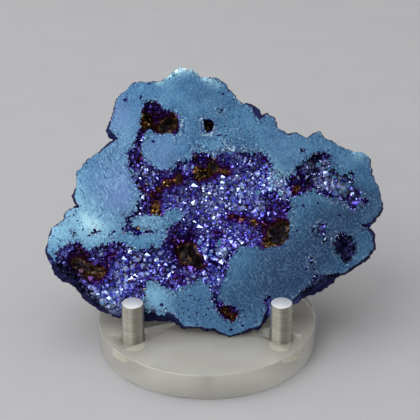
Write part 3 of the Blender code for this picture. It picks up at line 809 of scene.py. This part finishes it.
def made_object(name, bm, materials):
    """An object of the mesh, moved from the face's coordinates to its place on the stand"""
    mesh = bpy.data.meshes.new(name)
    bm.to_mesh(mesh)
    mesh.transform(face_to_world)
    for material in materials:
        mesh.materials.append(material)
    obj = bpy.data.objects.new(name, mesh)
    bpy.context.scene.collection.objects.link(obj)
    return obj


stone_piece = made_object("sawn_geode", stone, [sawn_quartz, druse_floor, rind_rock])
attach(stone_piece, "root")
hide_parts("geode")


# The druse
# Thousands of small quartz points that line the hollows, each standing roughly out of the rock and
# cut flat where it reached the saw. The film makes them blue and violet, and bronze in the deep
# places. They grew on the rock, so they are sunk in its floor.

# What the growth of one kind of crystal is told, and the kinds, the lengths in radii
KIND_SETTINGS = {"Where": "String", "Spacing": "Float", "Smallest Radius": "Float", "Largest Radius": "Float",
                 "Length in Radii": "Float", "Lean": "Float", "Seed": "Int"}
CRYSTAL_KINDS = [
    ("fine_druse", 1.1, 0.45, 0.9, 2.1, 0.85, 11),
    ("middling_druse", 2.1, 0.8, 1.35, 1.9, 0.8, 12),
    ("coarse_druse", 3.2, 1.2, 2.0, 1.45, 0.8, 13),
    ("cut_druse", 1.7, 0.75, 1.5, 3.4, 0.15, 14),
    ("edge_druse", 0.95, 0.28, 0.6, 2.2, 0.4, 15),
]
# Where the coarse crystals grow, as (right, up, radius)
COARSE_DRUSE = [
    (-40, 20, 8), (-30, 27, 9), (-34, 14, 6), (-20, 27, 6), (-48, 26, 6), (-45, 20, 6), (13, 50, 7),
    (2, 32, 6), (-22, 24, 6), (0, 24, 4),
]
# The smooth floors of the wells, where hardly any crystals show, as (right, up, radius)
BARE_WELLS = [
    (3, 62.2, 3.2), (-10.5, 58, 2.4), (-15.5, 77.5, 6), (-21, 78, 3), (49.9, 32.3, 4), (26.2, 38.6, 6.0),
    (-7.8, 31.5, 5.6), (-4, 28, 3.5), (0.5, 77.5, 4), (-47.5, 27.3, 4.4), (-39.5, 23.5, 3.2),
]

growth = bpy.data.node_groups.new("crystal_growth", "GeometryNodeTree")
for name, kind in {"Floor": "Geometry", **KIND_SETTINGS, "Material": "Material"}.items():
    growth.interface.new_socket(name, in_out="INPUT", socket_type="NodeSocket" + kind)
growth.interface.new_socket("Crystals", in_out="OUTPUT", socket_type="NodeSocketGeometry")
given = add(growth, "NodeGroupInput").outputs

# Three shapes of quartz point: a six-sided prism of radius 1 and height 1 with a tip, two of them off centre
kinds = add(growth, "GeometryNodeGeometryToInstance")
for tip, height in (((-0.3, 0.38, 0.05), 0.3), ((0.42, 0.12, -0.05), 0.55), ((0.0, 0.0, 0.0), 0.5)):
    prism = add(growth, "GeometryNodeMeshCylinder", {"Vertices": 6, "Radius": 1.0, "Depth": 1.0})
    grown = add(growth, "GeometryNodeExtrudeMesh", {
        "Mesh": prism, "Selection": prism.outputs["Top"], "Offset Scale": height}, mode="FACES")
    pointed = add(growth, "GeometryNodeScaleElements", {
        "Geometry": grown, "Selection": grown.outputs["Top"], "Scale": 0.0})
    welded = add(growth, "GeometryNodeMergeByDistance", {"Geometry": pointed, "Distance": 0.01})
    upright = add(growth, "ShaderNodeSeparateXYZ", {0: add(growth, "GeometryNodeInputPosition")}).outputs["Z"]
    is_tip = add(growth, "FunctionNodeCompare", {"A": upright, "B": 0.6}, operation="GREATER_THAN")
    connect(kinds, {0: add(growth, "GeometryNodeSetPosition", {
        "Geometry": welded, "Selection": is_tip, "Offset": tip})})

# Each crystal has its seat, size, tilt and shape by chance, and keeps a number of its own for its colour
amount = add(growth, "GeometryNodeInputNamedAttribute", {"Name": given["Where"]}, data_type="FLOAT")
seats = add(growth, "GeometryNodeDistributePointsOnFaces", {
    "Mesh": given["Floor"], "Distance Min": given["Spacing"], "Density Max": 30.0, "Density Factor": amount,
    "Seed": given["Seed"]}, distribute_method="POISSON")
chance = {}
for number, (name, least, most) in enumerate((
        ("east", -1, 1), ("north", -1, 1), ("out", -0.4, 1), ("spin", 0, math.tau), ("size", 0, 1),
        ("longer", 0.6, 1.35), ("flatter", 0.6, 1.0), ("shape", -0.49, 2.49), ("own", 0, 1))):
    seed = add(growth, "ShaderNodeMath", {0: given["Seed"], 1: 100.0 * number}, operation="ADD")
    chance[name] = add(growth, "FunctionNodeRandomValue", {2: least, 3: most, "Seed": seed}).outputs[1]
aside = add(growth, "ShaderNodeCombineXYZ", {"X": chance["east"], "Y": chance["north"], "Z": chance["out"]})
leaning = add(growth, "ShaderNodeVectorMath", {0: aside, "Scale": given["Lean"]}, operation="SCALE")
outward = add(growth, "ShaderNodeVectorMath", {0: seats.outputs["Normal"], 1: (0, 0, 0.8)}, operation="ADD")
way = add(growth, "ShaderNodeVectorMath", {0: outward, 1: leaning}, operation="ADD")
upright = add(growth, "FunctionNodeAlignRotationToVector", {"Vector": way}, axis="Z")
spun = add(growth, "FunctionNodeAxisAngleToRotation", {"Axis": (0, 0, 1), "Angle": chance["spin"]})
turned = add(growth, "FunctionNodeRotateRotation", {0: upright, 1: spun}, rotation_space="LOCAL")
mostly_small = add(growth, "ShaderNodeMath", {0: chance["size"], 1: 1.7}, operation="POWER")
radius = add(growth, "ShaderNodeMapRange", {
    "Value": mostly_small, "To Min": given["Smallest Radius"], "To Max": given["Largest Radius"]})
length = add(growth, "ShaderNodeMath", {0: radius, 1: given["Length in Radii"]}, operation="MULTIPLY")
length = add(growth, "ShaderNodeMath", {0: length, 1: chance["longer"]}, operation="MULTIPLY")
width = add(growth, "ShaderNodeMath", {0: radius, 1: chance["flatter"]}, operation="MULTIPLY")
size = add(growth, "ShaderNodeCombineXYZ", {"X": radius, "Y": width, "Z": length})
kind = add(growth, "FunctionNodeFloatToInt", {0: chance["shape"]}, rounding_mode="ROUND")
planted = add(growth, "GeometryNodeInstanceOnPoints", {
    "Points": seats, "Instance": kinds, "Pick Instance": True, "Instance Index": kind, "Rotation": turned,
    "Scale": size})
marked = add(growth, "GeometryNodeStoreNamedAttribute", {
    0: planted, "Name": "crystal", "Value": chance["own"]}, data_type="FLOAT", domain="INSTANCE")
real = add(growth, "GeometryNodeRealizeInstances", {"Geometry": marked})
coated = add(growth, "GeometryNodeSetMaterial", {"Geometry": real, "Material": given["Material"]})
add(growth, "NodeGroupOutput", {"Crystals": coated})


def crystals_on(floor, name):
    """A mesh of crystals grown on the floor mesh, one kind after another"""
    grown = bmesh.new()
    inputs = [item for item in growth.interface.items_tree if item.in_out == "INPUT"]
    identifiers = {item.name: item.identifier for item in inputs}
    for kind in CRYSTAL_KINDS:
        bed = bpy.data.objects.new(name, floor.copy())
        bpy.context.scene.collection.objects.link(bed)
        modifier = bed.modifiers.new("growth", "NODES")
        modifier.node_group = growth
        for label, value in zip((*KIND_SETTINGS, "Material"), (*kind, druse_quartz)):
            modifier[identifiers[label]] = value
        mesh = bpy.data.meshes.new_from_object(bed.evaluated_get(bpy.context.evaluated_depsgraph_get()))
        grown.from_mesh(mesh)
        bpy.data.meshes.remove(mesh)
        bpy.data.objects.remove(bed)
    return grown


# Single crystals that stand out, as (right, up, depth, direction, radius, length), each turned on its axis
# by this much more than the last, in radians
TURN_EACH = 1.7
STANDING_CRYSTALS = [
    (18.3, 50.0, -2.6, (0.05, 1, 0.9), 1.15, 5.0), (53.2, 48.6, -1.6, (1, -0.1, 0.35), 1.15, 4.2),
    (0.5, 32.2, -3.6, (-1, 0.1, 0.75), 1.9, 4.4), (4.6, 31.8, -3.6, (0.6, 0.5, 0.9), 1.7, 3.6),
    (2.2, 29.8, -3.6, (0.1, -0.8, 0.9), 1.4, 3.6), (-38.2, 14.4, -4.3, (-0.2, 0.5, 1), 1.7, 3.6),
    (-35.4, 12.0, -4.1, (0.3, -0.2, 1), 1.9, 3.4), (-33.0, 15.0, -4.1, (0.4, 0.5, 0.9), 1.5, 3.4),
    (-41.5, 17.0, -4.6, (-0.5, 0.2, 0.9), 1.5, 3.2),
]
# Crystals with a facet that throws the key lamp into the camera, as (right, up, depth, radius, length), and
# the way that the upright crystal's facet faces and has to face for it
GLINTING_CRYSTALS = [
    (-5.4, 55.7, -3.5, 1.5, 3.9), (-3.4, 40.6, -3.5, 1.5, 3.9), (4.9, 59.0, -3.2, 1.0, 3.4),
    (4.7, 56.9, -3.2, 1.0, 3.4), (4.5, 54.8, -3.2, 0.9, 3.4), (22.5, 56.8, -3.2, 0.9, 3.2),
]
FACET_WAY = Vector((-0.624, 0.45, 0.639))
GLINT_WAY = Vector((-0.264, 0.169, 0.949))
# The tip's length, how flat the point is, and where its end stands, all in radii
TIP_LENGTH, FLATTENED, TIP_END = 1.2, 0.8, (0.3, 0.1)


def plant(bm, own_layer, foot, turn, radius, length):
    """Adds one six-sided quartz point to the mesh"""
    rings = []
    for height in (0.0, length - TIP_LENGTH * radius):
        ring = []
        for side in range(6):
            angle = math.tau * side / 6
            corner = Vector((radius * math.cos(angle), FLATTENED * radius * math.sin(angle), height))
            ring.append(bm.verts.new(Vector(foot) + turn @ corner))
        rings.append(ring)
    tip = bm.verts.new(Vector(foot) + turn @ Vector((TIP_END[0] * radius, TIP_END[1] * radius, length)))
    for i in range(6):
        j = (i + 1) % 6
        bm.faces.new((rings[0][i], rings[0][j], rings[1][j], rings[1][i]))
        bm.faces.new((rings[1][i], rings[1][j], tip))
    bm.faces.new(rings[0][::-1])
    for vert in rings[0] + rings[1] + [tip]:
        vert[own_layer] = 0.5


# The crystals are shared out between two hollows, as in the solids, and the shallow places
REPLACED = {"druzy_main_hollow": "crystals_main_hollow", "druzy_right_hollow": "crystals_right_hollow"}
RIGHT_HOLLOW, RIGHT_HOLLOW_RADIUS = Vector((49.9, 32.3)), 9.5
MAIN_HOLLOW_DEPTH, SMALL_HOLE_RADIUS = -2.7, 5
# Broken edges have few crystals up to this far in from the rim, and the rim itself has none
BROKEN_WIDTH, BROKEN_SHARE, CLEAR_RIM, CUT_CLEAR_RIM = 6, 0.3, (1.0, 2.6), (1.6, 2.6)
# Over these distances from the hollows' edges the usual crystals grow in, and the tiny ones at the edge end
GROWS_IN, EDGE_WIDTH = (0.4, 1.6), (0.4, 1.1)

floors = {name: bmesh.new() for name in (*REPLACED, "druzy_breaks_and_pits")}
grown_from = {name: {} for name in floors}
for bm in floors.values():
    for layer, *_ in CRYSTAL_KINDS:
        bm.verts.layers.float.new(layer)
for face in stone.faces:
    if face.material_index != DRUSE:
        continue
    middle = face.calc_center_median().xy
    depth = front_height(*middle) or 0.0
    if (middle - RIGHT_HOLLOW).length < RIGHT_HOLLOW_RADIUS:
        name = "druzy_right_hollow"
    elif depth < MAIN_HOLLOW_DEPTH and (middle - SMALL_HOLE).length > SMALL_HOLE_RADIUS:
        name = "druzy_main_hollow"
    else:
        name = "druzy_breaks_and_pits"
    bm, copies = floors[name], grown_from[name]
    for vert in face.verts:
        if vert in copies:
            continue
        x, y = vert.co.xy
        from_rim = distance(rim_tree, x, y)
        bare = min(fade(math.hypot(x - u, y - v), 0.55 * radius, 1.1 * radius) for u, v, radius in BARE_WELLS)
        coarse_share = nearest_share(vert.co, COARSE_DRUSE)
        cut_share = nearest_share(vert.co, CUT_DRUSE)
        usual = BROKEN_SHARE if depth > MAIN_HOLLOW_DEPTH and from_rim < BROKEN_WIDTH else 1.0
        usual *= 0.4 + 0.6 * fade(distance(flat_edges, x, y), *GROWS_IN)
        usual *= fade(from_rim, *CLEAR_RIM) * (1 - 0.9 * cut_share)
        at_edge = 1 - fade(distance(hollow_edges, x, y), *EDGE_WIDTH)
        shares = {
            "fine_druse": (0.02 + 0.98 * bare) * (1 - 0.5 * coarse_share) * usual,
            "middling_druse": (0.6 + 0.4 * coarse_share) * bare * usual,
            "coarse_druse": coarse_share * bare * usual,
            "cut_druse": cut_share * bare * fade(from_rim, *CUT_CLEAR_RIM),
            "edge_druse": at_edge * bare * (1 - cut_share) * fade(from_rim, *CUT_CLEAR_RIM),
        }
        copies[vert] = bm.verts.new(vert.co)
        for layer, share in shares.items():
            copies[vert][bm.verts.layers.float[layer]] = share
    bm.faces.new([copies[vert] for vert in face.verts])

# The saw's plane passes this far under the sawn face, so that no cut crystal lies in the face itself
SAW_GAP = 0.03
# What the cut crystals' tops show of the sawn face's patches, and how much of its chipped border
TOP_BORDER = 0.3
TOP_PATCHES = {"pale": PALE_FACE_AND_CROWN_HIGHLIGHT, "violet": VIOLET_FACE, "deep": DEEP_FACE}
# How unevenly the vapour came, as (distance between clouds, strength), and how much each crystal differs
FILM_CLOUDS, CRYSTAL_SPREAD = ((2.0, 0.45), (5.5, 0.5)), 0.45
for name, bm in floors.items():
    floor = bpy.data.meshes.new(name + "_floor")
    bm.to_mesh(floor)
    crystals = crystals_on(floor, name + "_floor")
    own_layer = crystals.verts.layers.float["crystal"]
    if name == "druzy_main_hollow":
        for number, (*foot, direction, radius, length) in enumerate(STANDING_CRYSTALS):
            turn = Vector(direction).to_track_quat("Z", "Y").to_matrix()
            turn = turn @ Matrix.Rotation(TURN_EACH * number, 3, "Z")
            plant(crystals, own_layer, foot, turn, radius, length)
        for *foot, radius, length in GLINTING_CRYSTALS:
            turn = FACET_WAY.rotation_difference(GLINT_WAY).to_matrix()
            plant(crystals, own_layer, foot, turn, radius, length)

    # The saw cuts off whatever stands out of the face
    everything = crystals.verts[:] + crystals.edges[:] + crystals.faces[:]
    bmesh.ops.bisect_plane(
        crystals, geom=everything, plane_co=(0, 0, -SAW_GAP), plane_no=(0, 0, 1), clear_outer=True)
    bmesh.ops.holes_fill(crystals, edges=[e for e in crystals.edges if e.is_boundary], sides=0)
    crystals.normal_update()

    # The stone and the crystals together keep the vapour off
    around = bmesh.new()
    together = bpy.data.meshes.new("together")
    for bm in (crystals, stone):
        bm.to_mesh(together)
        around.from_mesh(together)
    shadows = BVHTree.FromBMesh(around)
    layers = {layer: crystals.faces.layers.float.new(layer)
              for layer in ("film", "dull", "border", *TOP_PATCHES)}
    for face in crystals.faces:
        middle = face.calc_center_median()
        cut = middle.z > -1.1 * SAW_GAP and face.normal.z > 0.99
        face.material_index = int(cut)
        if cut:
            face[layers["border"]] = TOP_BORDER
            for layer, patches in TOP_PATCHES.items():
                face[layers[layer]] = patches_at(middle, patches)
        film = film_on(middle, face.normal, shadows)
        film *= 1 + sum(strength * noise.noise(middle / apart) for apart, strength in FILM_CLOUDS)
        film += CRYSTAL_SPREAD * (face.verts[0][own_layer] - 0.5)
        face[layers["dull"]] = patches_at(middle, DULL_ROCK)
        face[layers["film"]] = thinned(film, middle) + patches_at(middle, THICK_FILM_AND_STREAK_HIGHLIGHT)
    piece = made_object(name, crystals, [druse_quartz, sawn_quartz])
    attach(piece, "root")
    if name in REPLACED:
        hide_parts(REPLACED[name])


# The disc of the stand
# Clear cast acrylic, 80 mm across and 10 mm thick, turned and polished all round, with three blind
# holes for the pegs.

DISC_RADIUS, DISC_THICKNESS, DISC_ROUND = 40.0, 10.0, 0.5
PEG_RADIUS, PEG_TOP, PEG_FOOT, SEAT_RADIUS, SEAT_FLOOR = 4.0, 25.0, 4.35, 4.35, 4.0
ROUND_STEPS = 4
PEG_PLACES = {name: sum(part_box(name), Vector()) / 2 / MM
              for name in ("peg_front_left", "peg_front_right", "peg_rear")}


def turned_piece(name, profile, sides, centre):
    """A closed piece turned round an upright axis from its profile of (radius, height), bottom first"""
    bm = bmesh.new()
    rows = []
    for radius, height in profile:
        row = []
        for i in range(sides if radius else 1):
            angle = math.tau * i / sides
            x, y = centre[0] + radius * math.cos(angle), centre[1] + radius * math.sin(angle)
            row.append(bm.verts.new((x * MM, y * MM, height * MM)))
        rows.append(row)
    for lower, upper in zip(rows, rows[1:]):
        for i in range(sides):
            j = (i + 1) % sides
            below = [lower[i % len(lower)], lower[j % len(lower)]]
            above = [upper[j % len(upper)], upper[i % len(upper)]]
            bm.faces.new(list(dict.fromkeys(below + above)))
    bmesh.ops.recalc_face_normals(bm, faces=bm.faces)
    mesh = bpy.data.meshes.new(name)
    bm.to_mesh(mesh)
    mesh.shade_smooth()
    mesh.set_sharp_from_angle(angle=math.radians(35))
    obj = bpy.data.objects.new(name, mesh)
    bpy.context.scene.collection.objects.link(obj)
    return obj


round_edge = []
for step in range(ROUND_STEPS + 1):
    angle = math.pi / 2 * step / ROUND_STEPS
    round_edge.append((DISC_RADIUS - DISC_ROUND * (1 - math.cos(angle)), DISC_ROUND * (math.sin(angle) - 1)))
profile = [(0, 0)] + [(radius, -height) for radius, height in round_edge[::-1]]
profile += [(radius, DISC_THICKNESS + height) for radius, height in round_edge] + [(0, DISC_THICKNESS)]
disc = turned_piece("acrylic_disc", profile, 160, (0, 0))
for name, place in PEG_PLACES.items():
    above = DISC_THICKNESS + 2
    seat_profile = [(0, SEAT_FLOOR), (SEAT_RADIUS, SEAT_FLOOR), (SEAT_RADIUS, above), (0, above)]
    cut = disc.modifiers.new(name, "BOOLEAN")
    cut.operation, cut.solver = "DIFFERENCE", "EXACT"
    cut.object = turned_piece(name + "_seat", seat_profile, 64, place)
drilled_mesh = bpy.data.meshes.new_from_object(disc.evaluated_get(bpy.context.evaluated_depsgraph_get()))
disc.modifiers.clear()
disc.data = drilled_mesh
for name in PEG_PLACES:
    bpy.data.objects.remove(bpy.data.objects[name + "_seat"])

# Cast acrylic, polished and then handled: clear and a little milky, with a warm tint in its thickness
acrylic, tree, shader, place = new_material("polished_cast_acrylic")
wear = add(tree, "ShaderNodeTexNoise", {
    "Vector": place, "Scale": 1 / (7 * MM), "Detail": 4.0, "Roughness": 0.6})
haze = add(tree, "ShaderNodeMapRange", {
    "Value": wear, "From Min": 0.3, "From Max": 0.7, "To Min": 0.1, "To Max": 0.2})
connect(shader, {"Base Color": linear("#fcfaf3"), "Transmission Weight": 0.8, "IOR": 1.49, "Roughness": haze})

# Drilled acrylic: the drill left the holes' walls frosted, and they glow cream round each peg's foot
drilled, tree, shader, place = new_material("drilled_cast_acrylic")
scratches = add(tree, "ShaderNodeTexNoise", {"Vector": place, "Scale": 1 / (0.7 * MM), "Detail": 3.0})
cream = add(tree, "ShaderNodeValToRGB", {"Fac": scratches}, [(0.3, "#e4dcc6"), (0.7, "#f6f0de")])
connect(shader, {"Base Color": cream, "Transmission Weight": 0.25, "IOR": 1.49, "Roughness": 0.6})

# How near a hole's wall or floor a face of the disc has to be to belong to it
NEAR_HOLE = 0.05
disc.data.materials.clear()
for material in (acrylic, drilled):
    disc.data.materials.append(material)
for face in disc.data.polygons:
    middle = face.center / MM
    nearest = min((middle.xy - place.xy).length for place in PEG_PLACES.values())
    at_height = SEAT_FLOOR - NEAR_HOLE < middle.z < DISC_THICKNESS - NEAR_HOLE
    in_hole = nearest < SEAT_RADIUS + NEAR_HOLE and at_height
    face.material_index = int(in_hole)
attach(disc, "root")
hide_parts("stand_disc")


# The pegs
# Three 8 mm stainless steel pegs, turned and faced on a lathe with a small chamfer, pressed into
# the disc's holes. The stone stands between the front two and leans on the rear one.

# Turned stainless steel: the tool left rings 0.3 mm apart round the sides, drawn nearly twice as wide so that
# they show. They spread each reflection up and down the peg, into one narrow bright line
steel, tree, shader, place = new_material("turned_stainless_steel")
rings = add(tree, "ShaderNodeMapping", {"Vector": place, "Scale": (120.0, 120.0, 1 / (0.5 * MM))})
marks = add(tree, "ShaderNodeTexNoise", {"Vector": rings, "Scale": 1.0, "Detail": 4.0, "Roughness": 0.7})
colour = add(tree, "ShaderNodeValToRGB", {"Fac": marks}, [
    (0.3, "#95928a"), (0.5, "#a9a69c"), (0.7, "#bdbab0")])
worn = add(tree, "ShaderNodeMapRange", {"Value": marks, "To Min": 0.5, "To Max": 0.62})
relief = add(tree, "ShaderNodeBump", {"Height": marks, "Strength": 0.15, "Distance": 0.02 * MM})
round_peg = add(tree, "ShaderNodeTangent", direction_type="RADIAL", axis="Z")
connect(shader, {"Base Color": colour, "Metallic": 1.0, "Roughness": worn, "Normal": relief,
                 "Anisotropic": 0.9, "Anisotropic Rotation": 0.25, "Tangent": round_peg})

# Faced stainless steel: the ends are matt and even, with a fine grain
faced_steel_painted_light, tree, shader, place = new_material("faced_stainless_steel_painted_highlight")
marks = add(tree, "ShaderNodeTexNoise", {
    "Vector": place, "Scale": 1 / (0.6 * MM), "Detail": 3.0, "Roughness": 0.7})
# The ends' colour, far paler than the sides' steel, is a painted highlight for the light that the flat tops
# catch
colour = add(tree, "ShaderNodeValToRGB", {"Fac": marks}, [(0.3, "#dededf"), (0.7, "#f0f0f0")])
worn = add(tree, "ShaderNodeMapRange", {"Value": marks, "To Min": 0.45, "To Max": 0.6})
connect(shader, {"Base Color": colour, "Metallic": 1.0, "Roughness": worn})

# Half of the peg's upright profile: its foot with a chamfer, its side, and its top with a rounded one
PEG_PROFILE = [
    (0, PEG_FOOT), (PEG_RADIUS - 0.4, PEG_FOOT), (PEG_RADIUS, PEG_FOOT + 0.4), (PEG_RADIUS, PEG_TOP - 0.28),
    (PEG_RADIUS - 0.06, PEG_TOP - 0.2), (PEG_RADIUS - 0.24, PEG_TOP - 0.02), (PEG_RADIUS - 0.3, PEG_TOP),
    (0, PEG_TOP),
]
for name, centre in PEG_PLACES.items():
    peg = turned_piece("turned_" + name, PEG_PROFILE, 64, centre)
    for material in (steel, faced_steel_painted_light):
        peg.data.materials.append(material)
    for face in peg.data.polygons:
        face.material_index = int(face.normal.z > 0.9)
    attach(peg, "root")
    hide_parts(name)


# The studio
# Matt pale grey paper under the object, lit softly by a key lamp from the front left and by large
# diffusers round it, and the camera, which looks down on the stand.

PAPER_SIZE, PAPER_GAP = 6, 0.0001
bpy.ops.mesh.primitive_plane_add(size=PAPER_SIZE, location=(0, 0, -PAPER_GAP))
floor_piece = bpy.context.object
floor_piece.name = "studio_floor"
# Uncoated paper, matt: a flat even grey that hardly changes from place to place
paper, tree, shader, place = new_material("pale_paper")
fibres = add(tree, "ShaderNodeTexNoise", {
    "Vector": place, "Scale": 1 / (25 * MM), "Detail": 6.0, "Roughness": 0.6})
colour = add(tree, "ShaderNodeValToRGB", {"Fac": fibres}, [(0.3, "#a0a0a3"), (0.7, "#a3a3a5")])
connect(shader, {"Base Color": colour, "Roughness": 0.9})
floor_piece.data.materials.append(paper)

world = bpy.data.worlds.new("studio")
bpy.context.scene.world = world
world.use_nodes = True
connect(world.node_tree.nodes["Background"], {"Color": (1.0, 1.0, 1.0, 1.0), "Strength": 0.42})

# The soft boxes, as (azimuth, elevation, distance, width, height, power): azimuth 0 is at the camera and 90
# to the right, in degrees, and the rest is in metres and watts
SOFT_BOXES = {
    "key": (-50, 50, 1.5, 1.0, 1.0, 8.5),
    "front": (-25, 32, 1.5, 0.7, 0.5, 3.4),
    "left_wall": (-95, 25, 1.2, 1.0, 0.8, 5.6),
    "right_wall": (100, 30, 1.2, 0.8, 0.8, 1.7),
    "ceiling": (-60, 80, 1.3, 1.4, 1.4, 7),
    "above": (180, 66, 1.4, 1.4, 0.9, 2.6),
}
LAMPS_AIM = Vector((0, 0, 0.05))
for name, (azimuth, elevation, far, width, height, power) in SOFT_BOXES.items():
    light = bpy.data.lights.new(name, "AREA")
    light.shape = "RECTANGLE"
    light.size, light.size_y, light.energy = width, height, power
    lamp = bpy.data.objects.new(name, light)
    bpy.context.scene.collection.objects.link(lamp)
    a, e = math.radians(azimuth), math.radians(elevation)
    away = Vector((math.sin(a) * math.cos(e), -math.cos(a) * math.cos(e), math.sin(e)))
    lamp.location = LAMPS_AIM + away * far
    lamp.rotation_euler = away.to_track_quat("Z", "Y").to_euler()
    lamp.visible_camera = False

CAMERA_AIM = Vector((1.03, 0, 54.46))
CAMERA_DISTANCE, CAMERA_ELEVATION = 679.2, math.radians(28.9)
FOCAL_PIXELS, IMAGE_PIXELS, SENSOR_WIDTH = 1900, 420, 36
camera_data = bpy.data.cameras.new("camera")
camera_data.sensor_width = SENSOR_WIDTH
camera_data.lens = FOCAL_PIXELS * SENSOR_WIDTH / IMAGE_PIXELS
camera = bpy.data.objects.new("camera", camera_data)
bpy.context.scene.collection.objects.link(camera)
back = Vector((0, -math.cos(CAMERA_ELEVATION), math.sin(CAMERA_ELEVATION)))
camera.location = (CAMERA_AIM + back * CAMERA_DISTANCE) * MM
camera.rotation_euler = (math.pi / 2 - CAMERA_ELEVATION, 0, 0)
bpy.context.scene.camera = camera
bpy.context.scene.view_settings.view_transform = "Standard"
